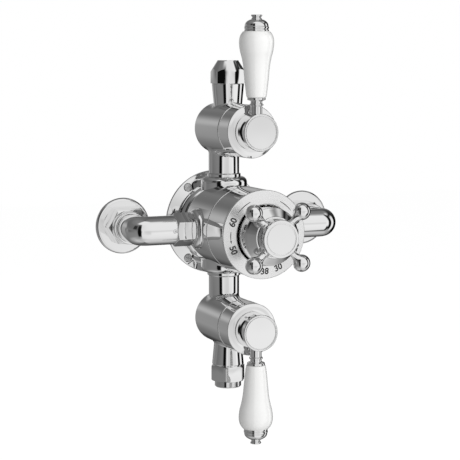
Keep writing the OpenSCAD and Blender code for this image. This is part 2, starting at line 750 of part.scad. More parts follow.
// Four turned arms: a threaded root, a waist and a ball that grows out of it
module handle_arms() color("silver") out() for (turn = [45 : 90 : 315]) rotate(turn)
    translate([0, 0, arm_depth_on_handle]) rotate([0, 90, 0]) handle_arm();
ball_join = 48;
module handle_arm() rotate_extrude() {
    start = [arm_waist_r, arm_waist_end];
    meet = [ball_r * sin(ball_join), ball_reach - ball_r * cos(ball_join)];
    bend_at = [arm_waist_r, meet[1] - (meet[0] - arm_waist_r) * tan(90 - ball_join)];
    polygon(concat(
        [[0, arm_root], [arm_thread_r, arm_root], [arm_thread_r, hub_r], [arm_waist_r, hub_r + edge]],
        [for (t = [0 : 0.125 : 1]) start * pow(1 - t, 2) + bend_at * 2 * t * (1 - t) + meet * t * t],
        [[0, ball_reach]]));
    translate([0, ball_reach]) intersection() {
        circle(ball_r);
        translate([0, -ball_r]) square([ball_r, 2 * ball_r]);
    }
}
// Round cap with a raised rim, plugged into the neck
module handle_cap() color("whitesmoke") out() rotate_extrude() polygon([
    [0, handle_face - cap_t - cap_plug_len], [recess_r - fit, handle_face - cap_t - cap_plug_len],
    [recess_r - fit, handle_face - cap_t], [handle_cap_r, handle_face - cap_t],
    [handle_cap_r, handle_face - edge], [handle_cap_r - edge, handle_face],
    [handle_cap_r - cap_rim_w + cap_rim_deep, handle_face],
    [handle_cap_r - cap_rim_w, handle_face - cap_rim_deep], [0, handle_face - cap_rim_deep]]);
module handle_screw() color("gainsboro") out() screw(handle_screw_head_r, handle_screw_head_h,
    handle_screw_r, handle_screw_len, handle_face - cap_t - screw_recess_len);
// Cheese-head screw whose head rests at a depth, with a driver slot
module screw(head_r, head_h, r, length, seat) difference() {
    union() {
        rod(head_r, seat, seat + head_h);
        rod(r, seat - length, seat + head_h / 2);
    }
    translate([-head_r - over, -slot_w / 2, seat + head_h - slot_deep])
        cube([2 * (head_r + over), slot_w, slot_deep + over]);
}

// Rubber rings on the necks' spigots
neck_ring_at = neck_boss_top - socket_len / 2;
module neck_o_rings() color("black") translate([0, -neck_depth, 0]) both_ways()
    o_ring(neck_spigot_r - ring_wire_r + fit / 2, neck_ring_at);

// Flow valve body: barrel, neck down to the body and outlet spigot, drawn for the upper valve
module valve_body(outlet_r = riser_bore_r) color("silver") difference() {
    union() {
        out(0, valve_rise) {
            rotate_extrude() {
                translate([0, valve_back]) square([valve_r - valve_back_edge, valve_seam - valve_back]);
                translate([0, valve_back + valve_back_edge])
                    square([valve_r, valve_seam - valve_back - valve_back_edge]);
                translate([valve_r - valve_back_edge, valve_back + valve_back_edge]) circle(valve_back_edge);
            }
            rod(nozzle_r, valve_seam - over, cartridge_end);
        }
        translate([0, -neck_depth, 0]) neck();
        translate([0, -outlet_depth, valve_rise]) spigot();
    }
    out(0, valve_rise) {
        rod(valve_water_r, valve_back + valve_floor, seat_depth + over);
        rod(valve_bore_r, seat_depth, cartridge_end + over);
    }
    translate([0, -neck_depth, neck_boss_top - neck_spigot_len - over])
        cylinder(r = water_r, h = valve_rise - neck_boss_top + neck_spigot_len + over);
    translate([0, -neck_depth, 0]) ring(socket_r + over, neck_spigot_r - 2 * ring_wire_r,
        neck_ring_at - ring_groove_w / 2, neck_ring_at + ring_groove_w / 2);
    translate([0, -outlet_depth - outlet_port_set, valve_rise])
        cylinder(r = outlet_port_r, h = spigot_len - outlet_stop_len);
    translate([0, -outlet_depth, spigot_end - 2 * outlet_stop_len])
        cylinder(r = water_r, h = spigot_len);
    translate([0, -outlet_depth, spigot_end - outlet_stop_len]) cylinder(r = outlet_r, h = spigot_len);
}
// Neck: a spigot in the body's boss, a collar, a plain tube and a short flare into the barrel
module neck() {
    root = valve_rise - sqrt(pow(valve_r, 2) - pow(neck_r + neck_flare, 2));
    rotate_extrude() polygon([
        [0, neck_boss_top - neck_spigot_len], [neck_spigot_r, neck_boss_top - neck_spigot_len],
        [neck_spigot_r, neck_boss_top], [neck_collar_r, neck_boss_top],
        [neck_collar_r, neck_boss_top + neck_collar_h - edge],
        [neck_r, neck_boss_top + neck_collar_h], [neck_r, valve_rise], [0, valve_rise]]);
    intersection() {
        rotate_extrude() difference() {
            translate([0, root - neck_flare]) square([neck_r + neck_flare, neck_flare]);
            translate([neck_r + neck_flare, root - neck_flare]) circle(neck_flare);
        }
        before(valve_back + valve_back_edge) cube([2 * barrel_r, 2 * barrel_r, valve_rise]);
    }
}
// Outlet spigot: a short flare out of the barrel, a cone that widens to the nut, and the thread
module spigot() {
    root = sqrt(pow(valve_r, 2) - pow(spigot_r + neck_flare, 2));
    rotate_extrude() difference() {
        polygon([
            [0, 0], [spigot_r, 0], [spigot_r + neck_flare, root], [spigot_r + neck_flare, root + neck_flare],
            [spigot_r, root + neck_flare], [spigot_end_r, spigot_len - edge],
            [spigot_end_r - edge / 2, spigot_len], [outlet_thread_r, spigot_len],
            [outlet_thread_r, spigot_len + outlet_thread_len], [0, spigot_len + outlet_thread_len]]);
        translate([spigot_r + neck_flare, root + neck_flare]) circle(neck_flare);
    }
}
// Bonnet: a round cover over the cartridge's head, with a fine seam at the barrel
module bonnet() color("silver") out(0, valve_rise) difference() {
    rotate_extrude() polygon([
        [0, valve_seam], [bonnet_r - bonnet_seam_w, valve_seam], [bonnet_r, valve_seam + bonnet_seam_w],
        [bonnet_r, bonnet_front - 2 * edge], [bonnet_r - 2 * edge, bonnet_front], [0, bonnet_front]]);
    rod(nozzle_r + fit, valve_seam - over, valve_seam + bonnet_skirt_len);
    rod(bonnet_room_r, valve_seam, bonnet_front - bonnet_front_t);
    rod(bonnet_hole_r, valve_seam, bonnet_front + over);
}

// Ceramic disc cartridge: housing, seal, two discs and the spindle that turns one of them
cartridge_front = cartridge_end + cartridge_flange_t + cartridge_hex_len;
room_end = seat_depth + cartridge_room_len;
disc_start = seat_depth + seal_t;
disc_meet = disc_start + disc_t;
dog_start = disc_meet + disc_gap + disc_t;
module cartridge() color("goldenrod") out(0, valve_rise) difference() {
    union() {
        rod(valve_bore_r - fit, seat_depth, cartridge_end);
        rod(cartridge_flange_r, cartridge_end, cartridge_end + cartridge_flange_t);
        hex(cartridge_hex_flats, cartridge_end, cartridge_front);
    }
    rod(cartridge_room_r, seat_depth - over, room_end);
    rod(valve_spindle_r + run, seat_depth, cartridge_front + over);
    translate([-valve_bore_r - over, -window_w / 2, disc_meet])
        cube([2 * (valve_bore_r + over), window_w, window_len]);
    translate([-window_w / 2, 0, disc_meet]) cube([window_w, valve_bore_r + over, window_len]);
}
module seat_seal() color("black") out(0, valve_rise)
    ring(cartridge_room_r - fit, seal_bore_r, seat_depth, disc_start);
// A ceramic disc with two ports
module disc(from, start) difference() {
    rod(disc_r, from, from + disc_t);
    for (turn = [start, start + 180]) rotate(turn) difference() {
        sector(disc_r - disc_rim, 0, disc_port_angle, from - over, from + disc_t + over);
        rod(disc_r / 4, from - over, from + disc_t + over);
    }
}
module fixed_disc() color("white") out(0, valve_rise) disc(disc_start, 5);
module turning_disc() color("ghostwhite") out(0, valve_rise) disc(disc_meet + disc_gap, 95);
module valve_spindle() color("goldenrod") out(0, valve_rise) difference() {
    union() {
        rod(dog_r, dog_start, dog_start + dog_t);
        drum(valve_spindle_r, dog_start + edge, valve_spindle_front);
    }
    rod(knob_screw_r + fit, valve_spindle_front - knob_screw_len + knob_wall - over,
        valve_spindle_front + over);
}

// Lever: knob on the spindle, cap over its screw, stem with collar, china grip, dome and button
module knob() color("silver") out(0, valve_rise) difference() {
    drum(knob_r, knob_back, knob_front, knob_edge);
    rod(valve_spindle_r + fit / 2, knob_back - over, valve_spindle_front + fit);
    rod(knob_screw_r + fit, knob_back, knob_front + over);
    rod(knob_recess_r, knob_front - knob_cap_t - knob_recess_len, knob_front + over);
    rod(knob_r - knob_cap_rim, knob_front - knob_cap_t, knob_front + over);
    translate([0, 0, lever_depth]) rotate([-90, 0, 0]) {
        rod(stem_thread_r + fit, stem_root - edge, knob_r + over);
        rod(stem_r + fit, stem_seat, knob_r + over);
    }
}
module knob_cap() color("whitesmoke") out(0, valve_rise) rotate_extrude() polygon([
    [0, knob_front - knob_cap_t], [knob_r - knob_cap_rim - fit, knob_front - knob_cap_t],
    [knob_r - knob_cap_rim - fit, knob_front - edge], [knob_r - knob_cap_rim - edge, knob_front - edge / 2],
    [0, knob_front - edge / 2]]);
module knob_screw() color("gainsboro") out(0, valve_rise) screw(knob_screw_head_r, knob_recess_len - fit,
    knob_screw_r, knob_screw_len, knob_front - knob_cap_t - knob_recess_len);
// Local Z runs up the lever, from the flow valve's axis
module lever_axis() translate([0, -lever_depth, valve_rise]) children();
module lever_stem() color("silver") lever_axis() rotate_extrude() {
    foot = grip_start - stem_collar_h;
    polygon([
        [0, stem_root], [stem_thread_r, stem_root], [stem_thread_r, stem_seat], [stem_r, stem_seat],
        [stem_r, foot - edge], [stem_collar_r - edge, foot], [stem_collar_r, foot + edge],
        [stem_collar_r, grip_start - edge], [stem_collar_r - edge, grip_start], [tie_r, grip_start],
        [tie_r, dome_end - button_pin_len - tie_end], [0, dome_end - button_pin_len - tie_end]]);
    translate([stem_r, foot - stem_bead_set]) circle(stem_bead_r - stem_r, $fn = 24);
}
module lever_grip() color("white") lever_axis() difference() {
    profile = [for (i = [0 : len(grip_length_shares) - 1])
        [grip_r * grip_radius_shares[i], grip_start + grip_len * grip_length_shares[i]]];
    rotate_extrude() polygon(concat([[0, grip_start]], smooth(profile, 3), [[0, grip_end]]));
    rod(grip_bore_r, grip_start - over, grip_end + over);
}
module lever_dome() color("silver") lever_axis() difference() {
    profile = [for (i = [0 : len(dome_length_shares) - 1])
        [dome_base_r * dome_radius_shares[i], grip_end + dome_len * dome_length_shares[i]]];
    rotate_extrude() polygon(concat([[0, grip_end]], profile, [[0, dome_end]]));
    rod(tie_r + fit, grip_end - over, dome_end - button_pin_len - tie_end + fit);
    rod(button_pin_r + fit, grip_end, dome_end + over);
}
module lever_button() color("silver") lever_axis() rotate_extrude() {
    polygon([
        [0, dome_end - button_pin_len], [button_pin_r, dome_end - button_pin_len], [button_pin_r, dome_end],
        [button_neck_r, dome_end], [button_neck_r, dome_end + edge], [button_r, dome_end + 2 * edge],
        [button_r, dome_end + button_len * 0.6], [button_r - 2 * edge, dome_end + button_len * 0.85],
        [button_r / 2, dome_end + button_len], [0, dome_end + button_len]]);
}

// Riser connection: a cone nut over the spigot's thread, and the olive that grips the pipe
olive_start = spigot_end + outlet_thread_len;
cone_start = spigot_end + cone_nut_len * cone_share;
nut_end = spigot_end + cone_nut_len;
module outlet_axis() translate([0, -outlet_depth, 0]) children();
module riser_nut() color("silver") outlet_axis() difference() {
    intersection() {
        rotate_extrude() polygon([
            [0, spigot_end], [cone_nut_r - edge, spigot_end], [cone_nut_r, spigot_end + edge],
            [cone_nut_r, cone_start], [cone_top_r, nut_end - edge], [cone_top_r - edge, nut_end],
            [0, nut_end]]);
        hex(cone_nut_flats, spigot_end - over, nut_end + over);
    }
    rod(nut_bore_r, spigot_end - over, olive_start + olive_len / 2);
    rod(riser_bore_r, spigot_end, nut_end + over);
    translate([0, 0, olive_start + olive_len / 2])
        cylinder(r1 = olive_r + fit, r2 = riser_bore_r, h = olive_len / 2);
}
module riser_olive() color("goldenrod") outlet_axis() rotate_extrude() polygon([
    [riser_bore_r, olive_start], [olive_r - olive_edge, olive_start], [olive_r, olive_start + olive_edge],
    [olive_r, olive_start + olive_len / 2], [riser_bore_r + edge, olive_start + olive_len - edge],
    [riser_bore_r, olive_start + olive_len - edge]]);
// Lower outlet: a hexagonal adapter with a threaded tail for a hose
module outlet_adapter() color("silver") lower() outlet_axis() difference() {
    union() {
        intersection() {
            hex(adapter_flats, spigot_end, spigot_end + adapter_len);
            drum(adapter_flats / sqrt(3), spigot_end, spigot_end + adapter_len, 2 * edge);
        }
        drum(tail_r, spigot_end + adapter_len - over, spigot_end + adapter_len + tail_len, edge);
    }
    rod(nut_bore_r, spigot_end - over, olive_start + fit);
    rod(water_r, spigot_end, spigot_end + adapter_len + tail_len + over);
}

wall_plate();
wall_plate_screws();
left() flange();  // left_flange
flange();  // right_flange
left() wall_nut();  // left_wall_nut
wall_nut();  // right_wall_nut
left() elbow();  // left_elbow
elbow();  // right_elbow
left() union_nut();  // left_union_nut
union_nut();  // right_union_nut
filter_washers();
check_valves();
body();
front_cover();
dial_plate();
mixing_sleeve();
sleeve_o_rings();
lock_nut();
stop_ring();
temperature_spindle();
handle_hub();
handle_arms();
handle_cap();
handle_screw();
mixing_shuttle();
wax_element();
return_spring();
neck_o_rings();
valve_body();  // upper_valve_body
bonnet();  // upper_bonnet
cartridge();  // upper_cartridge
seat_seal();  // upper_seat_seal
fixed_disc();  // upper_fixed_disc
turning_disc();  // upper_turning_disc
valve_spindle();  // upper_spindle
knob();  // upper_knob
knob_cap();  // upper_knob_cap
knob_screw();  // upper_knob_screw
lever_stem();  // upper_lever_stem
lever_grip();  // upper_lever_grip
lever_dome();  // upper_lever_dome
lever_button();  // upper_lever_button
lower() valve_body(lower_outlet_r);  // lower_valve_body
lower() bonnet();  // lower_bonnet
lower() cartridge();  // lower_cartridge
lower() seat_seal();  // lower_seat_seal
lower() fixed_disc();  // lower_fixed_disc
lower() turning_disc();  // lower_turning_disc
lower() valve_spindle();  // lower_spindle
lower() knob();  // lower_knob
lower() knob_cap();  // lower_knob_cap
lower() knob_screw();  // lower_knob_screw
lower() lever_stem();  // lower_lever_stem
lower() lever_grip();  // lower_lever_grip
lower() lever_dome();  // lower_lever_dome
lower() lever_button();  // lower_lever_button
riser_nut();
riser_olive();
outlet_adapter();
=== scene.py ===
"""Exposed thermostatic shower valve in polished chrome with white china levers.

Lengths are in millimetres in the model's own frame: +X to the right, +Z up, the wall is the plane y = 0
and the valve stands in front of it, so a depth d is y = -d.
"""

import json
import math

import bmesh
import bpy
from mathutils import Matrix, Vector


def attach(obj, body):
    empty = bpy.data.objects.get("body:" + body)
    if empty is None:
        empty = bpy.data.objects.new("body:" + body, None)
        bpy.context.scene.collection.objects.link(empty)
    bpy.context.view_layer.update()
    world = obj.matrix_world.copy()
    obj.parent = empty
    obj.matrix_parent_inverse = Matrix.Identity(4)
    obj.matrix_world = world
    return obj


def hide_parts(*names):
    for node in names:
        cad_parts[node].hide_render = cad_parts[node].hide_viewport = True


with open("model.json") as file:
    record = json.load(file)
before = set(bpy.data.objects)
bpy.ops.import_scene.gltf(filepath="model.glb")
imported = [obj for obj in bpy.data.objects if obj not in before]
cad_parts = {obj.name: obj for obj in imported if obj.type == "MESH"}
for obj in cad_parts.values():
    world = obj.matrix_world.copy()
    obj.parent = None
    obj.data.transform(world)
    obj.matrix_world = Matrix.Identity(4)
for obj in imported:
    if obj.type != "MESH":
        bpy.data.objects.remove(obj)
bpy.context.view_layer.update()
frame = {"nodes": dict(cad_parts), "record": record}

MM = 0.001

# places
INLET = 75.0             # each inlet's distance from the body's axis
RISE = 73.0              # each flow valve's distance from the body's axis
ARM = 41.5               # depth of the arms' axis
NECK = 20.7              # depth of the necks' axis
OUTLET = 28.5            # depth of the outlets' axis
LEVER = 81.0             # depth of the levers' axis
ARMS_OF_HANDLE = 118.8   # depth of the four arms of the temperature handle
UNION_START = 34.9       # distance of a union nut's inner end from the body's axis
UNION_END = 49.9         # and of its outer end
DIAL_BACK = 92.7         # depth at which the front cover ends and the dial starts
DIAL_FACE = 96.7         # depth of the dial's face at its inner edge
DIAL_RIM_FACE = 95.2     # and at its rim, to which it slopes back
SPIGOT_END = 107.2       # height of the shoulder that an outlet's nut sits on
ADAPTER_END = 119.4      # height at which the adapter's hexagon ends
SCREW_CIRCLE = 35.2      # distance of the wall plate's screws from the body's axis
SCREW_ANGLES = (50.7, 129.3, 230.7, 309.3)

# sizes
BARREL = 32.0            # radius of the body's barrel
VALVE = 19.3             # radius of a flow valve's barrel
SIDE_ARM = 14.5          # radius of the body's side arms
NECK_TUBE = 11.6         # radius of a neck
SPIGOT = 10.4            # radius of an outlet's spigot at its foot
ELBOW = 10.7             # radius of an elbow
ELBOW_BEND = 5.0         # radius of an elbow's bend along its middle
WATERWAY = 6.5           # radius of the bores that carry water
PIPE = 7.6               # radius of the bores that hold a 15 mm pipe
BELL = 20.9              # radius of the temperature handle's bell
DIAL_EDGE = 22.6         # radius at which the dial's slope starts
DIAL_RIM = 32.3          # radius of the dial
PROUD = 0.03             # height of a mark above its surface
SUNK = 0.2               # depth of a mark's foot below it

# lengths along an elbow at which its bend starts and ends
BEND_START = ARM - ELBOW_BEND
BEND_END = BEND_START + ELBOW_BEND * math.pi / 2


# outlines

def soft(points, closed=False, turn=9.0):
    """An outline with an arc at each corner that names a radius as its third value."""
    result = []
    for i, point in enumerate(points):
        radius = point[2] if len(point) > 2 else 0
        ends = i in (0, len(points) - 1) and not closed
        if not radius or ends:
            result.append((point[0], point[1]))
            continue
        corner = Vector(point[:2])
        back = Vector(points[i - 1][:2]) - corner
        ahead = Vector(points[(i + 1) % len(points)][:2]) - corner
        angle = back.angle(ahead)
        reach = radius / math.tan(angle / 2)
        room_back, room_ahead = back.length - reach, ahead.length - reach
        back.normalize()
        ahead.normalize()
        centre = corner + (back + ahead).normalized() * (radius / math.sin(angle / 2))
        start, stop = corner + back * reach - centre, corner + ahead * reach - centre
        sweep = math.pi - angle
        side = 1 if start.x * stop.y - start.y * stop.x > 0 else -1
        steps = max(2, math.ceil(math.degrees(sweep) / turn))
        hold = min(0.12, radius / 3)
        # a holding point just outside each end of the arc keeps the flats beside it flat
        if room_back > 2 * hold:
            result.append(tuple(centre + start + back * hold))
        for k in range(steps + 1):
            a = side * sweep * k / steps
            x = start.x * math.cos(a) - start.y * math.sin(a)
            y = start.x * math.sin(a) + start.y * math.cos(a)
            result.append((centre.x + x, centre.y + y))
        if room_ahead > 2 * hold:
            result.append(tuple(centre + stop + ahead * hold))
    return result


def smooth(points, steps):
    """A smooth curve through the points."""
    result = []
    for i in range(len(points) - 1):
        four = [points[max(i - 1, 0)], points[i], points[i + 1], points[min(i + 2, len(points) - 1)]]
        for k in range(steps):
            t = k / steps
            result.append(tuple((2 * b + (c - a) * t + (2 * a - 5 * b + 4 * c - d) * t * t
                                 + (3 * b - a - 3 * c + d) * t ** 3) / 2 for a, b, c, d in zip(*four)))
    return result + [points[-1]]


def along(radius, start, stop, count):
    """Points at one radius, spread over a length, for a tube that bends there."""
    return [(radius, start + (stop - start) * i / count) for i in range(1, count)]


# places: (a, b) across the axis, h along it

def facing(x=0.0, z=0.0):
    return lambda a, b, h: (x + a, -h, z + b)


def upright(depth):
    return lambda a, b, h: (a, b - depth, h)


def sideways(depth):
    return lambda a, b, h: (h, a - depth, b)


def side_arm(side):
    """Along one of the body's side arms, to the right for 1 and to the left for -1."""
    return lambda a, b, h: (side * h, -ARM - b, a)


def neck_boss(side):
    """Along one of the body's neck bosses, up for 1 and down for -1."""
    return lambda a, b, h: (a, b - NECK, side * h)


def elbow_path(a, b, h):
    """Out of the wall, round the bend and towards the body. Inside the bend the sides meet in a mitre."""
    if a < -ELBOW_BEND:
        x = INLET + a if h <= BEND_END else min(INLET + a, INLET - ELBOW_BEND - (h - BEND_END))
        return (x, -min(h, ARM + a), b)
    if h < BEND_START:
        return (INLET + a, -h, b)
    if h < BEND_END:
        t = (h - BEND_START) / ELBOW_BEND
        reach = ELBOW_BEND + a
        return (INLET - ELBOW_BEND + reach * math.cos(t), -BEND_START - reach * math.sin(t), b)
    return (INLET - ELBOW_BEND - (h - BEND_END), -ARM - a, b)


# solids

def solid(name, points, faces):
    """A closed mesh with its normals outward."""
    shape = bmesh.new()
    corners = [shape.verts.new(Vector(p) * MM) for p in points]
    for face in faces:
        shape.faces.new([corners[i] for i in face])
    bmesh.ops.remove_doubles(shape, verts=shape.verts, dist=1e-7)
    bmesh.ops.recalc_face_normals(shape, faces=shape.faces)
    mesh = bpy.data.meshes.new(name)
    shape.to_mesh(mesh)
    shape.free()
    piece = bpy.data.objects.new(name, mesh)
    bpy.context.scene.collection.objects.link(piece)
    return piece


def lathe(name, outline, place, closed=False, steps=160):
    """Turns an outline of (radius, height) about its axis. An open outline starts and ends on the axis."""
    points, rows = [], []
    for r, h in outline:
        if r < 1e-6:
            rows.append([len(points)])
            points.append(place(0.0, 0.0, h))
        else:
            rows.append(list(range(len(points), len(points) + steps)))
            points += [place(r * math.cos(2 * math.pi * k / steps), r * math.sin(2 * math.pi * k / steps), h)
                       for k in range(steps)]
    faces = []
    pairs = list(zip(rows, rows[1:])) + ([(rows[-1], rows[0])] if closed else [])
    for low, high in pairs:
        for k in range(steps):
            n = (k + 1) % steps
            if len(low) == 1 and len(high) == 1:
                continue
            if len(low) == 1:
                faces.append((low[0], high[k], high[n]))
            elif len(high) == 1:
                faces.append((low[k], high[0], low[n]))
            else:
                faces.append((low[k], low[n], high[n], high[k]))
    return solid(name, points, faces)


def rod(radius, start, stop, place, steps=96):
    """A plain round bar, for cuts and bores."""
    return lathe("bar", [(0, start), (radius, start), (radius, stop), (0, stop)], place, steps=steps)


def prism(name, outline, start, stop, place):
    """A bar whose section is the outline."""
    n = len(outline)
    points = [place(a, b, h) for h in (start, stop) for a, b in outline]
    faces = [tuple(range(n)), tuple(range(2 * n - 1, n - 1, -1))]
    faces += [(k, (k + 1) % n, n + (k + 1) % n, n + k) for k in range(n)]
    return solid(name, points, faces)


def corner_radius(flats):
    """The distance of a hexagon's corners from its middle."""
    return flats / math.sqrt(3)


def hexagon(flats, corner=0.5, turned=0, bulge=0.0):
    """A hexagon with softened corners, one of them on the first axis before any turn. Its sides can bulge."""
    reach = corner_radius(flats)
    turns = [math.radians(60 * k + turned) for k in range(6)]
    ends = [Vector((reach * math.cos(t), reach * math.sin(t))) for t in turns]
    points = []
    for here, there in zip(ends, ends[1:] + ends[:1]):
        points.append((here.x, here.y, corner))
        out = (here + there).normalized()
        for k in range(1, 12 if bulge else 1):
            t = k / 12
            points.append(tuple(here.lerp(there, t) + out * (bulge * 4 * t * (1 - t))))
    return soft(points, closed=True, turn=12)


def box(low, high):
    """A block between two corners given as (x, depth, z)."""
    outline = [(low[0], low[2]), (high[0], low[2]), (high[0], high[2]), (low[0], high[2])]
    return prism("block", outline, low[1], high[1], facing())


def saddle(barrel, radius, rounding, place, sink=1.5, steps=160, rings=10):
    """The rounded foot of a tube that stands on a barrel whose axis runs along b."""
    dip, spread, wall = 0.03, 0.05, 1.2
    # each row is a radius round the tube and a height above the barrel
    rows_at = []
    for k in range(rings + 1):
        angle = math.radians(90 * k / rings)
        rows_at.append((radius + rounding * (1 - math.cos(angle)), rounding * (1 - math.sin(angle))))
    # the rim dips into the barrel, so that no face of the foot lies on it
    rows_at[-1] = (radius + rounding, -dip)
    rows_at.append((radius + rounding + spread, -sink - dip))
    rows_at += [(radius - wall, -sink), (radius - wall, rounding)]
    points, rows = [], []
    for r, lift in rows_at:
        rows.append(range(len(points), len(points) + steps))
        for k in range(steps):
            t = 2 * math.pi * k / steps
            a, b = r * math.cos(t), r * math.sin(t)
            points.append(place(a, b, math.sqrt(barrel ** 2 - a * a) + lift))
    faces = []
    for low, high in zip(rows, rows[1:] + rows[:1]):
        faces += [(low[k], low[(k + 1) % steps], high[(k + 1) % steps], high[k]) for k in range(steps)]
    return solid("saddle", points, faces)


def combine(base, operation, *others):
    """Joins, cuts or keeps the common part of solids; the others are used up."""
    for other in others:
        change = base.modifiers.new("solid", "BOOLEAN")
        change.operation = operation
        change.object = other
        change.solver = "MANIFOLD"
    settle(base)
    for other in others:
        bpy.data.objects.remove(other)
    return base


def settle(piece):
    """Turns a piece's modifiers into plain mesh."""
    bpy.context.view_layer.update()
    done = bpy.data.meshes.new_from_object(piece.evaluated_get(bpy.context.evaluated_depsgraph_get()))
    piece.modifiers.clear()
    old = piece.data
    piece.data = done
    bpy.data.meshes.remove(old)


def join(base, *others):
    return combine(base, "UNION", *others)


def cut(base, *others):
    return combine(base, "DIFFERENCE", *others)


def common(base, *others):
    return combine(base, "INTERSECT", *others)


def turned_hexagon(name, section, start, stop, outline, place, steps=128):
    """A hexagonal bar with its corners turned off to an outline of (radius, height)."""
    bar = prism(name, section, start, stop, place)
    return common(bar, lathe("chamfer", outline, place, steps=steps))


def bevel(piece, width, angle=24):
    """Breaks the edges that are sharper than an angle in degrees, so that they catch light."""
    change = piece.modifiers.new("edges", "BEVEL")
    change.width = width * MM
    change.segments = 2
    change.limit_method = "ANGLE"
    change.angle_limit = math.radians(angle)
    settle(piece)
    return piece


def mirrored(piece, name, axis, keep=True):
    """The mirror image of a piece, across the plane through the origin."""
    twin = piece.copy()
    twin.data, twin.name = piece.data.copy(), name
    bpy.context.scene.collection.objects.link(twin)
    for vertex in twin.data.vertices:
        vertex.co[axis] = -vertex.co[axis]
    twin.data.flip_normals()
    if not keep:
        bpy.data.objects.remove(piece)
    return twin


def shade(piece):
    """Shades a piece smooth, apart from edges sharper than 30 degrees."""
    piece.data.polygons.foreach_set("use_smooth", [True] * len(piece.data.polygons))
    piece.data.set_sharp_from_angle(angle=math.radians(30))


def use(piece, finish, body, node=None):
    """Gives a finished piece its material and its place in the frame. A piece can stand for a node."""
    if node:
        piece.name = piece.data.name = node
    if finish:
        piece.data.materials.clear()
        piece.data.materials.append(finish)
    shade(piece)
    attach(piece, body)
    if node:
        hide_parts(node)


# materials

def linear(code):
    """An sRGB hex colour as linear RGBA."""
    value = [int(code[i:i + 2], 16) / 255 for i in (1, 3, 5)]
    return [v / 12.92 if v <= 0.04045 else ((v + 0.055) / 1.055) ** 2.4 for v in value] + [1.0]


def add(tree, kind, links=None, **settings):
    """Adds a node; settings named in_0, in_1 or by a socket's name fill inputs, the rest are properties."""
    node = tree.nodes.new(kind)
    for key, value in settings.items():
        if key.startswith("in_"):
            name = key[3:]
            node.inputs[int(name) if name.isdigit() else name.replace("_", " ")].default_value = value
        else:
            setattr(node, key, value)
    for name, source in (links or {}).items():
        tree.links.new(source, node.inputs[name])
    return node


def surface(name, colour, **sockets):
    """A Principled material with its even values set on the shader itself."""
    material = bpy.data.materials.new(name)
    material.use_nodes = True
    shader = material.node_tree.nodes["Principled BSDF"]
    shader.inputs["Base Color"].default_value = linear(colour)
    for key, value in sockets.items():
        shader.inputs[key.replace("_", " ")].default_value = value
    return material, material.node_tree, shader


def grain(tree, shader, size, low, high):
    """Lets the roughness wander between two values over patches of a size in millimetres."""
    place = add(tree, "ShaderNodeTexCoord").outputs["Object"]
    noise = add(tree, "ShaderNodeTexNoise", {"Vector": place}, in_Scale=1 / (size * MM), in_Detail=3.0)
    # the noise lies between 0.3 and 0.7 nearly everywhere
    spread = add(tree, "ShaderNodeMapRange", {"Value": noise.outputs["Fac"]},
                 in_From_Min=0.3, in_From_Max=0.7, in_To_Min=low, in_To_Max=high)
    tree.links.new(spread.outputs["Result"], shader.inputs["Roughness"])
    return noise


def mottle(tree, shader, noise, dark, light):
    """Lets the colour wander between two close tones."""
    tones = add(tree, "ShaderNodeMix", {"Factor": noise.outputs["Fac"]}, data_type="RGBA")
    tones.inputs[6].default_value, tones.inputs[7].default_value = linear(dark), linear(light)
    tree.links.new(tones.outputs[2], shader.inputs["Base Color"])


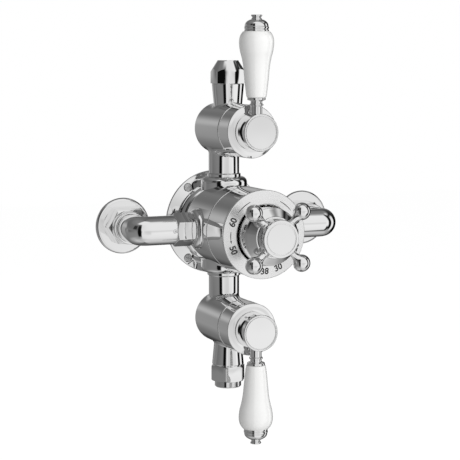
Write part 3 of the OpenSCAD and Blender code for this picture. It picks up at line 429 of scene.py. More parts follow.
def make_materials():
    made = {}
    # polished chrome plate: a clear mirror, with a faint haze left by the polishing wheel in patches
    made["chrome"], tree, shader = surface("polished chrome plate", "#efefef", Metallic=1.0)
    grain(tree, shader, 16.67, 0.012, 0.035)
    # satin chrome plate of the dial: pale and soft, so that the handle's arms leave no clear image in it
    made["satin"], tree, shader = surface("satin chrome plate", "#f4f4f4", Metallic=1.0)
    grain(tree, shader, 16.67, 0.27, 0.33)
    # machined brass of the cartridges: warm and a little dull, its tool marks drawn coarser than they are
    made["brass"], tree, shader = surface("machined brass", "#cda45c", Metallic=1.0)
    noise = grain(tree, shader, 1.11, 0.22, 0.38)
    mottle(tree, shader, noise, "#c0954e", "#d4b06c")
    # glazed china: a white body whose tone hardly wanders, with sharp highlights in its clear glaze
    made["china"], tree, shader = surface("glazed white china", "#f2f2f1",
                                          Coat_Weight=1.0, Coat_Roughness=0.03)
    noise = grain(tree, shader, 40, 0.28, 0.42)
    mottle(tree, shader, noise, "#f0f0ef", "#f5f5f4")
    # lapped alumina of the discs: off-white with an even sheen, its grain drawn coarser than it is
    made["ceramic"], tree, shader = surface("lapped alumina", "#eceae4")
    noise = grain(tree, shader, 1.43, 0.16, 0.26)
    mottle(tree, shader, noise, "#e7e5df", "#f0eee8")
    # moulded rubber of the seals: black and matt
    made["rubber"], tree, shader = surface("black moulded rubber", "#1b1b1c")
    noise = grain(tree, shader, 0.67, 0.5, 0.68)
    mottle(tree, shader, noise, "#161617", "#222223")
    # moulded acetal of the stop ring and the non-return cartridges: white and waxy
    made["white_plastic"], tree, shader = surface("white acetal", "#e9e8e2")
    noise = grain(tree, shader, 2, 0.34, 0.46)
    mottle(tree, shader, noise, "#e4e3dd", "#eeede7")
    # moulded filled plastic of the mixing sleeve and the shuttle: dark grey, dull and faintly mottled
    made["dark_plastic"], tree, shader = surface("dark filled plastic", "#3a3935")
    noise = grain(tree, shader, 1.25, 0.4, 0.55)
    mottle(tree, shader, noise, "#33322f", "#42413c")
    # drawn copper of the wax element: reddish, with a soft shine
    made["copper"], tree, shader = surface("drawn copper", "#d08a63", Metallic=1.0)
    noise = grain(tree, shader, 1.43, 0.2, 0.34)
    mottle(tree, shader, noise, "#c47b55", "#d89672")
    # turned stainless steel of the screws and the spring: grey, with a soft shine
    made["steel"], tree, shader = surface("turned stainless steel", "#c9cacb", Metallic=1.0)
    noise = grain(tree, shader, 0.83, 0.2, 0.32)
    mottle(tree, shader, noise, "#bfc0c1", "#d0d1d2")
    # black enamel in the marks: black, with a slight gloss
    made["enamel"], tree, shader = surface("black enamel", "#141414", Coat_Weight=0.3)
    noise = grain(tree, shader, 0.4, 0.35, 0.5)
    mottle(tree, shader, noise, "#101010", "#1a1a1a")
    return made


material = make_materials()


# copies of one piece

def repeat(piece, name, spots):
    """Copies a piece to several (x, y, z, turn about the depth axis in degrees) spots with Geometry Nodes."""
    cloud = bpy.data.meshes.new(name + " spots")
    cloud.from_pydata([Vector(s[:3]) * MM for s in spots], [], [])
    turns = cloud.attributes.new("turn", "FLOAT", "POINT")
    turns.data.foreach_set("value", [math.radians(s[3]) for s in spots])
    holder = bpy.data.objects.new(name, cloud)
    bpy.context.scene.collection.objects.link(holder)
    tree = bpy.data.node_groups.new(name, "GeometryNodeTree")
    tree.interface.new_socket("Geometry", in_out="INPUT", socket_type="NodeSocketGeometry")
    tree.interface.new_socket("Piece", in_out="INPUT", socket_type="NodeSocketObject")
    tree.interface.new_socket("Material", in_out="INPUT", socket_type="NodeSocketMaterial")
    tree.interface.new_socket("Geometry", in_out="OUTPUT", socket_type="NodeSocketGeometry")
    start, stop = add(tree, "NodeGroupInput"), add(tree, "NodeGroupOutput")
    form = add(tree, "GeometryNodeObjectInfo", {"Object": start.outputs["Piece"]}, transform_space="ORIGINAL")
    turn = add(tree, "GeometryNodeInputNamedAttribute", data_type="FLOAT", in_Name="turn")
    # a turn seen from the front runs about -Y
    back = add(tree, "ShaderNodeMath", {0: turn.outputs["Attribute"]}, operation="MULTIPLY", in_1=-1.0)
    spin = add(tree, "ShaderNodeCombineXYZ", {"Y": back.outputs[0]})
    copies = add(tree, "GeometryNodeInstanceOnPoints", {
        "Points": start.outputs["Geometry"], "Instance": form.outputs["Geometry"],
        "Rotation": spin.outputs[0]})
    real = add(tree, "GeometryNodeRealizeInstances", {"Geometry": copies.outputs[0]})
    paint = add(tree, "GeometryNodeSetMaterial", {
        "Geometry": real.outputs[0], "Material": start.outputs["Material"]})
    tree.links.new(paint.outputs[0], stop.inputs[0])
    change = holder.modifiers.new("copies", "NODES")
    change.node_group = tree
    for socket in tree.interface.items_tree:
        if socket.in_out == "INPUT" and socket.name == "Piece":
            change[socket.identifier] = piece
        if socket.in_out == "INPUT" and socket.name == "Material":
            change[socket.identifier] = piece.data.materials[0]
    settle(holder)
    bpy.data.objects.remove(piece)
    return holder


# wall plate, flanges and screws

def make_wall_plate():
    plate = lathe("wall_plate", soft([
        (24.1, 0), (39.9, 0, 0.3), (39.9, 1.7, 0.8), (30.5, 3.5, 3.0), (24.1, 3.5)], closed=True),
        facing(), closed=True)
    for angle in SCREW_ANGLES:
        a = math.radians(angle)
        spot = facing(SCREW_CIRCLE * math.cos(a), SCREW_CIRCLE * math.sin(a))
        # a hole and its counterbore
        cut(plate, rod(2.0, -1, 5, spot, 32), rod(3.4, 1.4, 6, spot, 48))
    return plate


def make_plate_screws():
    """Four slotted screws with low domed heads in their counterbores, each turned a little differently."""
    head, edge, rise, slot = 2.85, 3.1, 0.6, 0.8
    dome = []
    for angle in range(10, 90, 10):
        a = math.radians(angle)
        dome.append((head * math.cos(a) ** 0.55, edge + rise * math.sin(a)))
    outline = [(0, 0), (1.9, 0), (1.9, 1.4), (head, 1.4), (head, 3.0)] + dome + [(0, edge + rise)]
    screw = lathe("screw", outline, facing(), steps=48)
    cut(screw, box((-4, 2.9, -slot / 2), (4, 6, slot / 2)))
    screw.data.materials.append(material["chrome"])
    shade(screw)
    spots = []
    for angle, turn in zip(SCREW_ANGLES, (12, 20, -15, 35)):
        a = math.radians(angle)
        spots.append((SCREW_CIRCLE * math.cos(a), 0, SCREW_CIRCLE * math.sin(a), turn))
    return repeat(screw, "wall_plate_screws", spots)


def make_flange():
    return lathe("flange", soft([
        (10.9, 0), (21.2, 0, 0.3), (21.2, 3.5, 2.2), (10.9, 3.5)], closed=True),
        facing(INLET), closed=True)


def make_wall_nut():
    flats, foot, top = 25.1, 3.5, 12.5
    reach = corner_radius(flats)
    outline = [(0, 2), (reach - 0.7, 2), (reach - 0.7, foot), (reach, 4.2), (reach, 11.0), (reach - 1.9, top),
               (0, top)]
    nut = turned_hexagon("wall_nut", hexagon(flats, 0.6), foot, top, outline, facing(INLET))
    cut(nut, rod(10.9, 2, 14, facing(INLET), 128))
    return bevel(nut, 0.35)


# elbows and union nuts

def make_elbow():
    """A bent tube with a grooved collar near the wall and a flanged end inside the union nut."""
    end = BEND_END + INLET - ELBOW_BEND - UNION_END
    collar = soft([
        (PIPE, 0), (ELBOW, 0), (ELBOW, 12.5), (11.2, 12.5), (11.2, 13.2), (12.5, 13.2, 0.5),
        (12.5, 16.6, 0.5), (11.3, 16.6), (11.3, 17.3), (12.0, 17.3, 0.3), (12.0, 21.5, 0.6),
        (10.1, 21.5, 0.2), (10.1, 23.9, 0.2), (ELBOW, 24.4, 0.2), (ELBOW, BEND_START)])
    bend = along(ELBOW, BEND_START, BEND_END, 28) + [(ELBOW, BEND_END)]
    nose = soft([
        (ELBOW, BEND_END), (ELBOW, end, 0.4), (8.0, end, 0.1), (8.0, end + 3.4), (9.0, end + 3.4),
        (9.0, end + 5.6), (WATERWAY, end + 5.6)])[1:]
    bore = [(WATERWAY, BEND_END)] + along(WATERWAY, BEND_END, BEND_START, 16)
    bore += [(WATERWAY, BEND_START), (WATERWAY, 20), (PIPE, 20)]
    return lathe("elbow", collar + bend + nose + bore, elbow_path, closed=True, steps=144)


def make_dimple(elbow):
    """A round dimple in the front of the left elbow, beside its union nut."""
    radius, x = 1.6, -52.0
    depth = ARM + ELBOW
    outline = [(0, depth - radius)]
    for angle in range(15, 180, 15):
        a = math.radians(angle)
        outline.append((radius * math.sin(a), depth - radius * math.cos(a)))
    return cut(elbow, lathe("ball", outline + [(0, depth + radius)], facing(x), steps=32))


def make_union_nut():
    """One corner of the nut points up."""
    flats, chamfer, slope = 21.9, 2.4, 1.4
    reach = corner_radius(flats)
    outline = [(0, UNION_START), (reach - chamfer, UNION_START), (reach, UNION_START + slope),
               (reach, UNION_END - slope), (reach - chamfer, UNION_END), (0, UNION_END)]
    section = hexagon(flats, 0.5, turned=90)
    nut = turned_hexagon("union_nut", section, UNION_START, UNION_END, outline, sideways(ARM))
    cut(nut, rod(9.1, 33, 46.4, sideways(ARM)), rod(8.1, 40, 51, sideways(ARM)))
    return bevel(nut, 0.18)


# body, cover and dial

def make_body():
    body = lathe("body", soft([
        (0, 0), (24, 0), (24, 3.5), (30.2, 3.5), (30.2, 5.3, 0.2), (31.4, 5.8, 0.3), (31.4, 15.0, 7.6),
        (23.4, 15.0, 0.1), (23.4, 20.5, 0.3), (BARREL, 20.5, 1.2), (BARREL, 63.5, 0.6), (0, 63.5)]),
        facing(), steps=224)
    boss = soft([(0, 10), (17.6, 10), (17.6, 36.6, 4.4), (0, 36.6)], turn=6)
    arm = soft([(0, 18), (SIDE_ARM, 18), (SIDE_ARM, UNION_START, 3.6), (9, UNION_START), (9, 43, 0.3),
                (0, 43)], turn=6)
    parts = []
    for side in (1, -1):
        neck = lathe("boss", boss, neck_boss(side), steps=160)
        # the boss is cut off just clear of the plate
        cut(neck, box((-40, -5, -60), (40, 3.8, 60)))
        parts.append(neck)
        parts.append(lathe("arm", arm, side_arm(side), steps=160))
        # the arm's foot starts a little inside the arm, so that their sides don't meet face to face
        parts.append(saddle(BARREL, SIDE_ARM - 0.2, 1.0, side_arm(side)))
    join(body, *parts)
    join(body, lathe("ring", [(23.6, 62), (27.4, 62), (27.4, 69), (23.6, 69)], facing(), closed=True))
    # the bore for the mixing sleeve, the water ways and sockets of the necks, and the ways from the inlets
    cut(body, rod(13, 13, 32, facing()), rod(17.5, 31, 66, facing()), rod(19.5, 55, 66, facing()),
        rod(WATERWAY, -36, 36, upright(NECK)), rod(9.6, 26.6, 38, upright(NECK)),
        rod(9.6, -38, -26.6, upright(NECK)), rod(7, -44, -15, sideways(ARM)), rod(7, 15, 44, sideways(ARM)))
    return body


def make_front_cover():
    return lathe("front_cover", soft([
        (27.5, 63.5), (31.2, 63.5), (31.2, 63.9, 0.1), (BARREL, 64.3, 0.5), (BARREL, DIAL_BACK, 0.4),
        (21.8, DIAL_BACK), (21.8, 88.2), (27.5, 88.2)], closed=True), facing(), closed=True, steps=224)


def make_dial_plate():
    return lathe("dial_plate", soft([
        (21.8, DIAL_BACK), (31.0, DIAL_BACK), (31.0, 93.2), (DIAL_RIM, 93.2, 0.25),
        (DIAL_RIM, DIAL_RIM_FACE, 0.7), (DIAL_EDGE, DIAL_FACE, 0.5), (21.8, 96.1, 0.3)], closed=True),
        facing(), closed=True, steps=224)


def ring_mark(text, angle, radius, size, depth, up=PROUD):
    """A number at an angle and a radius round the body's axis, as a thin raised slab facing the front."""
    curve = bpy.data.curves.new("mark", "FONT")
    curve.body = text
    curve.size = size * MM
    curve.align_x = curve.align_y = "CENTER"
    curve.extrude = up * MM
    curve.resolution_u = 6
    curve.offset = size * 0.03 * MM
    letter = bpy.data.objects.new("mark", curve)
    bpy.context.scene.collection.objects.link(letter)
    bpy.context.view_layer.update()
    mesh = bpy.data.meshes.new_from_object(letter.evaluated_get(bpy.context.evaluated_depsgraph_get()))
    bpy.data.objects.remove(letter)
    # tops point out in the upper half and in towards the handle in the lower half
    turn = math.radians(90 - angle + (180 if 180 < angle < 360 else 0))
    middle_x = radius * MM * math.cos(math.radians(angle))
    middle_z = radius * MM * math.sin(math.radians(angle))
    for vertex in mesh.vertices:
        x, y, z = vertex.co
        a = x * math.cos(turn) + y * math.sin(turn)
        b = y * math.cos(turn) - x * math.sin(turn)
        vertex.co = (a + middle_x, -depth * MM - z, b + middle_z)
    return mesh


def arc_mark(start, stop, radius, width, depth, arrow=False):
    """A thin arc on the dial that swells along its way, with an arrowhead at its end if one is asked for."""
    steps = max(4, int(abs(stop - start) / 2))
    points, faces = [], []
    for k in range(steps + 1):
        a = math.radians(start + (stop - start) * k / steps)
        share = (k + 1) / (steps + 1)
        w = width * (0.35 + 0.65 * math.sin(math.pi * share * 0.9 + 0.15))
        for r in (radius - w / 2, radius + w / 2):
            for d in (depth - SUNK, depth + PROUD):
                points.append((r * math.cos(a), -d, r * math.sin(a)))
    for k in range(steps):
        q = 4 * k
        faces += [(q, q + 1, q + 5, q + 4), (q + 1, q + 3, q + 7, q + 5), (q + 3, q + 2, q + 6, q + 7),
                  (q + 2, q, q + 4, q + 6)]
    faces += [(0, 2, 3, 1), (4 * steps, 4 * steps + 1, 4 * steps + 3, 4 * steps + 2)]
    if arrow:
        n = len(points)
        way = 1 if stop > start else -1
        half, length = 0.65, 2.1
        for ahead, across in ((0, -half), (length, 0), (0, half)):
            a = math.radians(stop + way * math.degrees(ahead / radius))
            for d in (depth - SUNK, depth + PROUD):
                points.append(((radius + across) * math.cos(a), -d, (radius + across) * math.sin(a)))
        faces += [(n, n + 2, n + 4), (n + 1, n + 5, n + 3), (n, n + 1, n + 3, n + 2),
                  (n + 2, n + 3, n + 5, n + 4), (n + 4, n + 5, n + 1, n)]
    return solid("arc", points, faces)


def gather(name, pieces):
    """One object from several meshes or objects."""
    shape = bmesh.new()
    for piece in pieces:
        mesh = piece if isinstance(piece, bpy.types.Mesh) else piece.data
        shape.from_mesh(mesh)
        if not isinstance(piece, bpy.types.Mesh):
            bpy.data.objects.remove(piece)
    bmesh.ops.recalc_face_normals(shape, faces=shape.faces)
    mesh = bpy.data.meshes.new(name)
    shape.to_mesh(mesh)
    shape.free()
    holder = bpy.data.objects.new(name, mesh)
    bpy.context.scene.collection.objects.link(holder)
    return holder


def make_dial_marks():
    """Numbers in degrees around the dial, with arcs that run towards hot and cold."""
    middle, size, line = 26.6, 6.4, 0.6
    numbers = (("60", 158), ("50", 202), ("40", 246), ("38", 270), ("30", 294), ("20", 338), ("10", 22))
    marks = [ring_mark(text, angle, middle, size, DIAL_FACE) for text, angle in numbers]
    for start, stop, arrow in ((115, 141, False), (63, 39, False), (173, 187, True), (7, -7, True)):
        marks.append(arc_mark(start, stop, middle, line, DIAL_FACE, arrow))
    dial = gather("dial_marks", marks)
    # the dial slopes back towards its rim, and the marks with it
    slope = (DIAL_FACE - DIAL_RIM_FACE) / (DIAL_RIM - DIAL_EDGE)
    for vertex in dial.data.vertices:
        vertex.co.y += (math.hypot(vertex.co.x, vertex.co.z) - DIAL_EDGE * MM) * slope
    return dial


# temperature handle

def make_hub():
    """The bell with its stem, the cone in front of it and the neck that holds the arms."""
    return lathe("handle_hub", soft([
        (5.05, 98), (5.05, 92.7), (8, 92.7, 0.3), (8, 106.7, 1.0), (18, 106.7, 1.5), (18, 80),
        (BELL, 80, 0.4), (BELL, 108.0, 0.9), (19.6, 109.2, 0.5), (15.1, 113.6, 0.3), (14.9, 114.3, 0.25),
        (14.0, 114.5, 0.2), (13.6, 121.3, 0.35), (12.3, 121.3, 0.1), (12.3, 122.2), (5, 122.2), (5, 114.0),
        (2.5, 114.0), (2.5, 112), (5.05, 112)], closed=True), facing(), closed=True, steps=192)


def make_handle_arms():
    """Turned arms with a threaded root, a waist and a ball, set at 45 degrees."""
    ball, reach, waist = 6.24, 26.2, 2.4
    # where the waist's curve meets the ball, as an angle from the arm's axis
    join_at = math.radians(48)
    meet = (ball * math.sin(join_at), reach - ball * math.cos(join_at))
    bend = (waist, meet[1] - (meet[0] - waist) * math.tan(math.pi / 2 - join_at))
    start = (waist, 16.4)
    outline = [(0, 8), (2, 8), (2, 12.9)]
    outline += soft([(2, 12.9), (3.1, 12.9, 0.2), (3.1, 14.8, 0.3), (waist, 15.4, 0.4), start])[1:]
    for k in range(1, 15):
        t = k / 14
        outline.append(tuple(a * (1 - t) ** 2 + b * 2 * t * (1 - t) + c * t * t
                             for a, b, c in zip(start, bend, meet)))
    for k in range(1, 26):
        angle = join_at + (math.pi - join_at) * k / 26
        outline.append((ball * math.sin(angle), reach - ball * math.cos(angle)))
    outline.append((0, reach + ball))
    arm = lathe("arm", outline, lambda a, b, h: (h, a - ARMS_OF_HANDLE, b), steps=96)
    arm.data.materials.append(material["chrome"])
    shade(arm)
    return repeat(arm, "handle_arms", [(0, 0, 0, turn) for turn in (45, 135, 225, 315)])


def make_handle_cap():
    return lathe("handle_cap", soft([
        (0, 119), (4.9, 119), (4.9, 122.2), (12.2, 122.2), (12.2, 122.9, 0.1), (13.5, 122.9, 0.25),
        (13.5, 124.6, 0.5), (11.7, 124.6, 0.15), (11.5, 123.8), (11.0, 123.8), (10.8, 124.4, 0.15),
        (0, 124.45)]), facing(), steps=192)


def make_bell_marks():
    """Small numbers on the bell's side, read through the dial's opening."""
    size, middle, foot = 2.1, 104.2, 0.15
    meshes = []
    for text, angle in (("38", 172), ("40", 186), ("42", 158)):
        mesh = ring_mark(text, 90, 0, size, 0, up=0.02)
        for vertex in mesh.vertices:
            x, y, z = vertex.co / MM
            # wraps the number round the bell, its top towards the front
            a = math.radians(angle) - x / BELL
            r = BELL + (PROUD if y < 0 else -foot)
            vertex.co = Vector((r * math.cos(a), -(middle + z), r * math.sin(a))) * MM
        meshes.append(mesh)
    return gather("bell_marks", meshes)


# flow valves

def make_valve_body(outlet_bore):
    """The upper flow valve's barrel, with its neck down to the body and its spigot up to the outlet."""
    valve = lathe("valve", soft([
        (0, 7.7), (VALVE, 7.7, 2.0), (VALVE, 54.5, 0.9), (16.4, 54.5), (16.4, 59.5), (0, 59.5)]),
        facing(0, RISE), steps=192)
    neck = lathe("neck", soft([
        (0, 27.2), (9.5, 27.2, 0.3), (9.5, 30.6), (7.8, 30.6), (7.8, 32.6), (9.5, 32.6), (9.5, 36.6),
        (12.7, 36.6, 0.3), (12.7, 38.9, 0.6), (NECK_TUBE, 39.3, 0.3), (NECK_TUBE, 70), (0, 70)]),
        upright(NECK), steps=160)
    foot = saddle(VALVE, NECK_TUBE, 2.6, lambda a, b, h: (a, b - NECK, RISE - h))
    # the foot ends where the barrel's rounded back starts
    common(foot, box((-40, 9.7, 0), (40, 60, 120)))
    spigot = lathe("spigot", soft([
        (0, 76), (SPIGOT, 76), (SPIGOT, 88), (12.1, 106.6, 0.3), (11.8, SPIGOT_END), (10.3, SPIGOT_END),
        (10.3, 115.4), (0, 115.4)]), upright(OUTLET), steps=160)
    shoulder = saddle(VALVE, SPIGOT, 2.4, lambda a, b, h: (a, b - OUTLET, RISE + h))
    join(valve, neck, foot, spigot, shoulder)
    # room for the cartridge, then the water's way in, its port and its way out
    cut(valve, rod(8.5, 12, 28.5, facing(0, RISE)), rod(13, 27.5, 61, facing(0, RISE)),
        rod(WATERWAY, 26, RISE, upright(NECK)), rod(3.6, RISE, 99, upright(OUTLET + 4.5)),
        rod(WATERWAY, 91.2, 118, upright(OUTLET)), rod(outlet_bore, 99.2, 118, upright(OUTLET)))
    return valve


def make_bonnet():
    return lathe("bonnet", soft([
        (16.5, 54.5), (17.9, 54.5), (17.9, 55.7), (18.6, 55.9, 0.2), (19.5, 56.6, 0.5), (19.5, 73.5, 0.6),
        (17.4, 74.1, 3.0), (15.2, 74.4, 3.0), (6, 74.4, 0.3), (6, 70.9), (15.8, 70.9), (15.8, 61.5),
        (16.5, 61.5)], closed=True), facing(0, RISE), closed=True, steps=192)


def make_knob():
    knob = lathe("knob", soft([
        (4.05, 74.8), (13.55, 74.8, 0.6), (13.55, 90.1, 0.8), (12.35, 90.1, 0.2), (12.35, 88.1), (4.3, 88.1),
        (4.3, 85.9), (2.0, 85.9), (2.0, 84.2), (4.05, 84.2)], closed=True),
        facing(0, RISE), closed=True, steps=192)
    # the socket for the lever's stem
    return cut(knob, rod(3.0, lever(7.5), lever(15), upright(LEVER), 64),
               rod(4.3, lever(12.9), lever(15), upright(LEVER), 64))


def make_knob_cap():
    return lathe("knob_cap", soft([
        (0, 88.1), (11.85, 88.1), (11.85, 89.65, 0.3), (8, 89.75), (4, 89.85), (0, 89.9)]),
        facing(0, RISE), steps=192)


# levers

GRIP_START, GRIP_END = 25.1, 72.2     # heights above the flow valve's axis


def lever(height):
    """A height above the flow valve's axis as a height above the body's axis."""
    return RISE + height


def make_stem():
    outline = soft([
        (0, 8), (2.9, 8), (2.9, 12.9), (4.2, 12.9), (4.2, 18.9, 0.3), (5.0, 19.3, 0.35), (5.0, 20.3, 0.35),
        (4.2, 20.7, 0.3), (4.2, 22.6, 0.5), (6.6, 23.3, 0.45), (6.6, GRIP_START, 0.45), (2, GRIP_START),
        (2, 75.4), (0, 75.4)])
    return lathe("stem", [(r, lever(h)) for r, h in outline], upright(LEVER), steps=128)


def make_grip():
    """A china grip that swells towards its outer end."""
    radius, bore = 12.6, 2.4
    length_shares = [0, 0.03, 0.15, 0.31, 0.43, 0.53, 0.62, 0.7, 0.785, 0.86, 0.925, 0.967, 1]
    width_shares = [0.55, 0.587, 0.643, 0.706, 0.745, 0.795, 0.865, 0.945, 0.992, 1, 0.952, 0.873, 0.778]
    length = GRIP_END - GRIP_START
    side = smooth([(radius * w, GRIP_START + length * l) for l, w in zip(length_shares, width_shares)], 8)
    outline = [(bore, GRIP_START), (6.3, GRIP_START)] + side + [(9.3, GRIP_END), (bore, GRIP_END)]
    return lathe("grip", [(r, lever(h)) for r, h in outline], upright(LEVER), closed=True, steps=160)


def make_dome():
    rim = soft([
        (2.1, GRIP_END), (8.9, GRIP_END, 0.3), (8.9, 73.4, 0.35), (8.45, 73.7, 0.15), (8.45, 74.1, 0.15),
        (8.9, 74.4, 0.35), (8.9, 75.5, 0.4), (8.5, 75.9, 0.15), (8.6, 76.3)])
    crown = smooth([(8.6, 76.3), (8.2, 77.8), (7.0, 79.3), (5.4, 80.3), (3.9, 80.8)], 6)[1:]
    outline = rim + crown + [(1.6, 80.8), (1.6, 77), (2.1, 77)]
    return lathe("dome", [(r, lever(h)) for r, h in outline], upright(LEVER), closed=True, steps=128)


def make_button():
    outline = soft([
        (0, 77.2), (1.5, 77.2), (1.5, 80.8), (3.7, 80.8, 0.2), (3.8, 81.3, 0.3), (3.1, 82.1, 0.6),
        (3.1, 82.5, 0.6), (4.0, 83.2, 0.35), (4.0, 84.1, 0.35), (0, 84.1)])
    return lathe("button", [(r, lever(h)) for r, h in outline], upright(LEVER), steps=96)


# outlets

def make_riser_nut():
    """A cone nut, open for the riser pipe, with a flat side to the front and slightly bulging sides."""
    outline = soft([
        (0, SPIGOT_END), (13.3, SPIGOT_END, 0.4), (13.3, 115.6, 0.3), (8.1, 123.9, 0.4), (7.9, 124.4),
        (0, 124.4)])
    section = hexagon(22.9, 0.35, turned=30, bulge=0.45)
    nut = turned_hexagon("riser_nut", section, SPIGOT_END - 1, 125, outline, upright(OUTLET), steps=160)
    cut(nut, rod(10.4, 106, 117.5, upright(OUTLET)), rod(PIPE, 107, 126, upright(OUTLET)))
    return bevel(nut, 0.16, 20)


def make_outlet_adapter():
    """A hexagonal adapter with a threaded tail, drawn pointing up."""
    flats = 24
    reach = corner_radius(flats)
    outline = [(0, SPIGOT_END), (11.2, SPIGOT_END), (11.2, 107.8), (reach - 1.3, 107.8), (reach, 108.9),
               (reach, 118.3), (reach - 1.3, ADAPTER_END), (0, ADAPTER_END)]
    nut = turned_hexagon("adapter", hexagon(flats, 1.4), SPIGOT_END, ADAPTER_END, outline, upright(OUTLET))
    bevel(nut, 0.18)
    root, crest, pitch = 9.6, 10.2, 0.92
    tail = [(0, 118), (root, 118), (root, 119.6)]
    for k in range(5):
        at = 119.75 + k * pitch
        tail += [(crest, at + 0.3), (crest, at + 0.42), (root, at + 0.78)]
    join(nut, lathe("tail", tail + [(9.5, 124.5), (9.3, 124.7), (0, 124.7)], upright(OUTLET), steps=128))
    return cut(nut, rod(10.4, 106, 115.5, upright(OUTLET)), rod(WATERWAY, 107, 126, upright(OUTLET)))


# putting it together

def build_body():
    """The wall plate, both inlets, the body and its dial."""
    chrome = material["chrome"]
    use(make_wall_plate(), chrome, "valve", "wall_plate")
    use(make_plate_screws(), None, "valve", "wall_plate_screws")
    for name, make in (("flange", make_flange), ("wall_nut", make_wall_nut), ("elbow", make_elbow),
                       ("union_nut", make_union_nut)):
        right = make()
        left = mirrored(right, "left", 0)
        if name == "elbow":
            make_dimple(left)
        use(right, chrome, "valve", "right_" + name)
        use(left, chrome, "valve", "left_" + name)
    use(make_body(), chrome, "valve", "body")
    use(make_front_cover(), chrome, "valve", "front_cover")
    use(make_dial_plate(), material["satin"], "valve", "dial_plate")
    use(make_dial_marks(), material["enamel"], "valve")


def build_handle():
    """The temperature handle."""
    chrome = material["chrome"]
    use(make_hub(), chrome, "temperature_handle", "handle_hub")
    use(make_handle_arms(), None, "temperature_handle", "handle_arms")
    use(make_handle_cap(), chrome, "temperature_handle", "handle_cap")
    use(make_bell_marks(), material["enamel"], "temperature_handle")


def build_flow_valves():
    """Both flow valves with their levers; the lower one is a mirror image of the upper one."""
    chrome = material["chrome"]
    upper = make_valve_body(PIPE)
    lower = mirrored(make_valve_body(7.0), "lower", 2, keep=False)
    use(upper, chrome, "valve", "upper_valve_body")
    use(lower, chrome, "valve", "lower_valve_body")
    for name, make, finish, turns in (
            ("bonnet", make_bonnet, "chrome", False), ("knob", make_knob, "chrome", True),
            ("knob_cap", make_knob_cap, "chrome", True), ("lever_stem", make_stem, "chrome", True),
            ("lever_grip", make_grip, "china", True), ("lever_dome", make_dome, "chrome", True),
            ("lever_button", make_button, "chrome", True)):
        top = make()
        bottom = mirrored(top, "bottom", 2)
        for piece, level in ((top, "upper_"), (bottom, "lower_")):
            use(piece, material[finish], level + "lever" if turns else "valve", level + name)
    use(make_riser_nut(), chrome, "valve", "riser_nut")
    adapter = mirrored(make_outlet_adapter(), "outlet_adapter", 2, keep=False)
    use(adapter, chrome, "valve", "outlet_adapter")


def finish_inner_pieces():
    """The inner pieces keep their drawn shapes and get the finish that the record names."""
    finishes = {part["node"]: part["material_slot"] for part in frame["record"]["subparts"]}
    for name, node in frame["nodes"].items():
        if not node.hide_render:
            node.data.materials.clear()
            node.data.materials.append(material[finishes[name]])
            shade(node)


build_body()
build_handle()
build_flow_valves()
finish_inner_pieces()


# studio

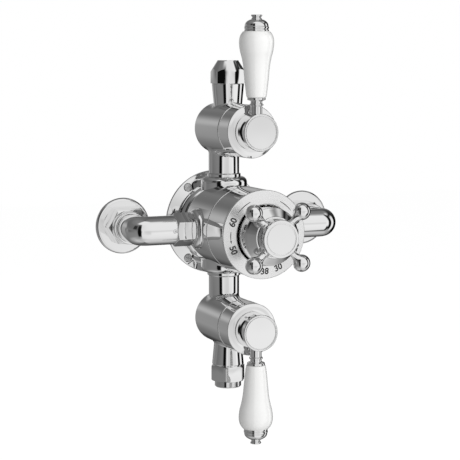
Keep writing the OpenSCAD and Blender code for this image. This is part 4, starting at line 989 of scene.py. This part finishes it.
# Brightness of the studio round the object: ten heights in degrees, each with its list of
# (turn from the front in degrees, grey level).
# A white front, a narrow black flag to the left of the camera, black flags and a strip light to the right.
STUDIO = [
    (-64, [(-180, 0.12), (-159, 0.25), (-130, 0.49), (-102, 0.61), (-84, 0.53), (-60, 0.50), (0, 0.70),
           (50, 0.70), (90, 0.60), (125, 0.40), (145, 0.15), (180, 0.12)]),
    (-48, [(-180, 0.13), (-159, 0.22), (-130, 0.40), (-102, 0.45), (-84, 0.40), (-60, 0.30), (-45, 0.40),
           (-32, 0.80), (0, 0.85), (41, 0.85), (46, 0.01), (57, 0.01), (62, 0.40), (90, 0.40),
           (125, 0.30), (145, 0.12), (180, 0.12)]),
    (-30, [(-180, 0.15), (-160, 0.18), (-130, 0.22), (-66, 0.26), (-59, 0.23), (-56, 0.004), (-40, 0.004),
           (-36, 0.85), (0, 0.86), (38, 0.92), (42, 0.90), (45, 0.004), (75, 0.004), (79, 0.85),
           (96, 0.85), (100, 0.004), (134, 0.01), (150, 0.03), (166, 0.03), (174, 0.08), (180, 0.15)]),
    (-12, [(-180, 0.20), (-160, 0.31), (-140, 0.22), (-66, 0.24), (-59, 0.20), (-57, 0.004), (-39, 0.004),
           (-35, 0.85), (0, 0.72), (12, 0.74), (20, 0.93), (54, 0.96), (58, 0.004), (76, 0.004),
           (79, 0.95), (97, 0.95), (100, 0.004), (134, 0.004), (145, 0.03), (160, 0.03), (172, 0.06),
           (176, 0.12), (180, 0.20)]),
    (2, [(-180, 0.50), (-168, 0.46), (-160, 0.38), (-146, 0.13), (-132, 0.32), (-119, 0.15), (-109, 0.13),
         (-95, 0.17), (-68, 0.23), (-60, 0.20), (-57, 0.004), (-39, 0.004), (-35, 0.60), (-29, 0.90),
         (-20, 0.72), (-5, 0.68), (8, 0.69), (20, 0.77), (38, 0.78), (43, 0.98), (54, 0.98), (58, 0.004),
         (76, 0.004), (79, 0.95), (97, 0.95), (100, 0.004), (134, 0.004), (140, 0.12), (160, 0.30),
         (172, 0.50), (180, 0.50)]),
    (10, [(-180, 0.25), (-166, 0.44), (-154, 0.48), (-140, 0.20), (-70, 0.18), (-59, 0.15), (-57, 0.004),
          (-40, 0.004), (-36, 0.85), (0, 0.85), (50, 0.95), (55, 0.95), (59, 0.004), (75, 0.004),
          (79, 0.90), (96, 0.90), (100, 0.004), (130, 0.01), (145, 0.15), (160, 0.50), (170, 0.40),
          (180, 0.25)]),
    (22, [(-180, 0.19), (-168, 0.15), (-150, 0.14), (-92, 0.16), (-86, 0.03), (-69, 0.03), (-64, 0.14),
          (-60, 0.10), (-57, 0.01), (-41, 0.01), (-37, 0.80), (0, 0.88), (52, 0.92), (59, 0.01),
          (75, 0.01), (79, 0.80), (96, 0.80), (101, 0.02), (128, 0.04), (145, 0.10), (165, 0.10),
          (172, 0.13), (180, 0.19)]),
    (36, [(-180, 0.19), (-168, 0.16), (-150, 0.15), (-92, 0.16), (-86, 0.03), (-69, 0.03), (-64, 0.14),
          (-60, 0.10), (-57, 0.01), (-41, 0.01), (-37, 0.80), (0, 0.88), (52, 0.92), (59, 0.01),
          (101, 0.01), (128, 0.04), (145, 0.10), (180, 0.19)]),
    (50, [(-180, 0.19), (-143, 0.20), (-90, 0.20), (-64, 0.20), (-57, 0.06), (-44, 0.06), (-38, 0.80),
          (0, 0.88), (52, 0.92), (59, 0.05), (72, 0.08), (79, 0.70), (94, 0.70), (101, 0.30), (128, 0.20),
          (145, 0.12), (180, 0.19)]),
    (62, [(-180, 0.18), (-143, 0.23), (-96, 0.23), (-82, 0.52), (-70, 0.90), (0, 0.88), (50, 0.88),
          (62, 0.60), (75, 0.30), (95, 0.22), (125, 0.20), (150, 0.14), (180, 0.18)]),
]


def ramp(tree, factor, stops):
    """A colour ramp over the turn, from -180 to 180 degrees."""
    node = add(tree, "ShaderNodeValToRGB", {"Fac": factor})
    points = node.color_ramp.elements
    while len(points) > 1:
        points.remove(points[-1])
    for k, (turn, grey) in enumerate(stops):
        at = (turn + 180) / 360
        point = points[0] if k == 0 else points.new(at)
        point.position = at
        point.color = (grey, grey, grey, 1)
    return node.outputs["Color"]


ROOM_LIGHT = 0.45     # strength of the even light on surfaces that aren't mirrors


def make_world():
    """A white room to the camera, even light on the surfaces, and the studio's flags in the metal."""
    world = bpy.data.worlds.new("studio")
    world.use_nodes = True
    bpy.context.scene.world = world
    tree = world.node_tree
    tree.nodes.clear()
    ray = add(tree, "ShaderNodeLightPath")
    way = add(tree, "ShaderNodeSeparateXYZ", {"Vector": add(tree, "ShaderNodeTexCoord").outputs["Generated"]})
    back = add(tree, "ShaderNodeMath", {0: way.outputs["Y"]}, operation="MULTIPLY", in_1=-1.0)
    turn = add(tree, "ShaderNodeMath", {0: way.outputs["X"], 1: back.outputs[0]}, operation="ARCTAN2")
    around = add(tree, "ShaderNodeMapRange", {"Value": turn.outputs[0]},
                 in_From_Min=-math.pi, in_From_Max=math.pi)
    height = add(tree, "ShaderNodeMath", {0: way.outputs["Z"]}, operation="ARCSINE")
    shown, below = None, None
    for level, stops in STUDIO:
        tone = ramp(tree, around.outputs["Result"], stops)
        if shown is None:
            shown = tone
        else:
            part = add(tree, "ShaderNodeMapRange", {"Value": height.outputs[0]},
                       interpolation_type="SMOOTHSTEP",
                       in_From_Min=math.radians(below), in_From_Max=math.radians(level))
            mix = add(tree, "ShaderNodeMix", {"Factor": part.outputs["Result"], 6: shown, 7: tone},
                      data_type="RGBA")
            shown = mix.outputs[2]
        below = level
    studio = add(tree, "ShaderNodeBackground", {"Color": shown}, in_Strength=1.0)
    room = add(tree, "ShaderNodeBackground", in_Color=linear("#ffffff"), in_Strength=ROOM_LIGHT)
    white = add(tree, "ShaderNodeBackground", in_Color=linear("#ffffff"), in_Strength=1.0)
    lit = add(tree, "ShaderNodeMixShader", {
        0: ray.outputs["Is Glossy Ray"], 1: room.outputs[0], 2: studio.outputs[0]})
    seen = add(tree, "ShaderNodeMixShader", {
        0: ray.outputs["Is Camera Ray"], 1: lit.outputs[0], 2: white.outputs[0]})
    tree.links.new(seen.outputs[0], add(tree, "ShaderNodeOutputWorld").inputs["Surface"])
    # every ray finds the world by itself, so that the metal sees only the flags
    world.cycles.sampling_method = "NONE"


# places and sizes in metres
FLOOR_SIDE = 12
FLOOR_HEIGHT = -0.62
LAMP_PLACE = (0.45, -1.5, 0.6)
LAMP_SIDE = 0.8
LAMP_POWER = 17     # watts
# the photograph's camera, fitted to the axes of the parts in it; its sensor and lens are in millimetres
CAMERA_PLACE = (-0.4411, -1.0656, 0.1303)
CAMERA_VIEW = (0.3899, 0.9132, -0.1182)
CAMERA_SENSOR = 36.0
CAMERA_LENS = 116.78


def make_floor():
    """A pale floor far below the valve: white to the camera, and it keeps the shadow."""
    half = FLOOR_SIDE / 2
    corners = [(x, y, FLOOR_HEIGHT) for x, y in ((-half, -half), (half, -half), (half, half), (-half, half))]
    mesh = bpy.data.meshes.new("floor")
    mesh.from_pydata(corners, [], [(0, 1, 2, 3)])
    floor = bpy.data.objects.new("floor", mesh)
    bpy.context.scene.collection.objects.link(floor)
    paint = bpy.data.materials.new("white paper floor")
    paint.use_nodes = True
    tree = paint.node_tree
    tree.nodes.clear()
    ray = add(tree, "ShaderNodeLightPath")
    paper = add(tree, "ShaderNodeBsdfDiffuse", in_Color=linear("#f4f4f4"))
    glow = add(tree, "ShaderNodeEmission", {"Strength": ray.outputs["Is Camera Ray"]},
               in_Color=linear("#c9c9c9"))
    both = add(tree, "ShaderNodeAddShader", {0: paper.outputs[0], 1: glow.outputs[0]})
    tree.links.new(both.outputs[0], add(tree, "ShaderNodeOutputMaterial").inputs["Surface"])
    mesh.materials.append(paint)
    floor.visible_glossy = False


def make_lamp():
    """One square lamp that shines on the valve from the front right."""
    data = bpy.data.lights.new("key", "AREA")
    data.shape = "SQUARE"
    data.size = LAMP_SIDE
    data.energy = LAMP_POWER
    lamp = bpy.data.objects.new("key", data)
    lamp.location = LAMP_PLACE
    lamp.rotation_mode = "QUATERNION"
    lamp.rotation_quaternion = (-Vector(LAMP_PLACE)).to_track_quat("-Z", "Y")
    # the flags in the world stand for the lamp's mirror image
    lamp.visible_glossy = False
    bpy.context.scene.collection.objects.link(lamp)


def make_camera():
    data = bpy.data.cameras.new("camera")
    data.sensor_width = CAMERA_SENSOR
    data.lens = CAMERA_LENS
    data.clip_start, data.clip_end = 0.01, 50
    camera = bpy.data.objects.new("camera", data)
    camera.location = CAMERA_PLACE
    camera.rotation_mode = "QUATERNION"
    camera.rotation_quaternion = Vector(CAMERA_VIEW).to_track_quat("-Z", "Y")
    bpy.context.scene.collection.objects.link(camera)
    bpy.context.scene.camera = camera


make_world()
make_floor()
make_lamp()
make_camera()
bpy.context.scene.view_settings.view_transform = "Standard"
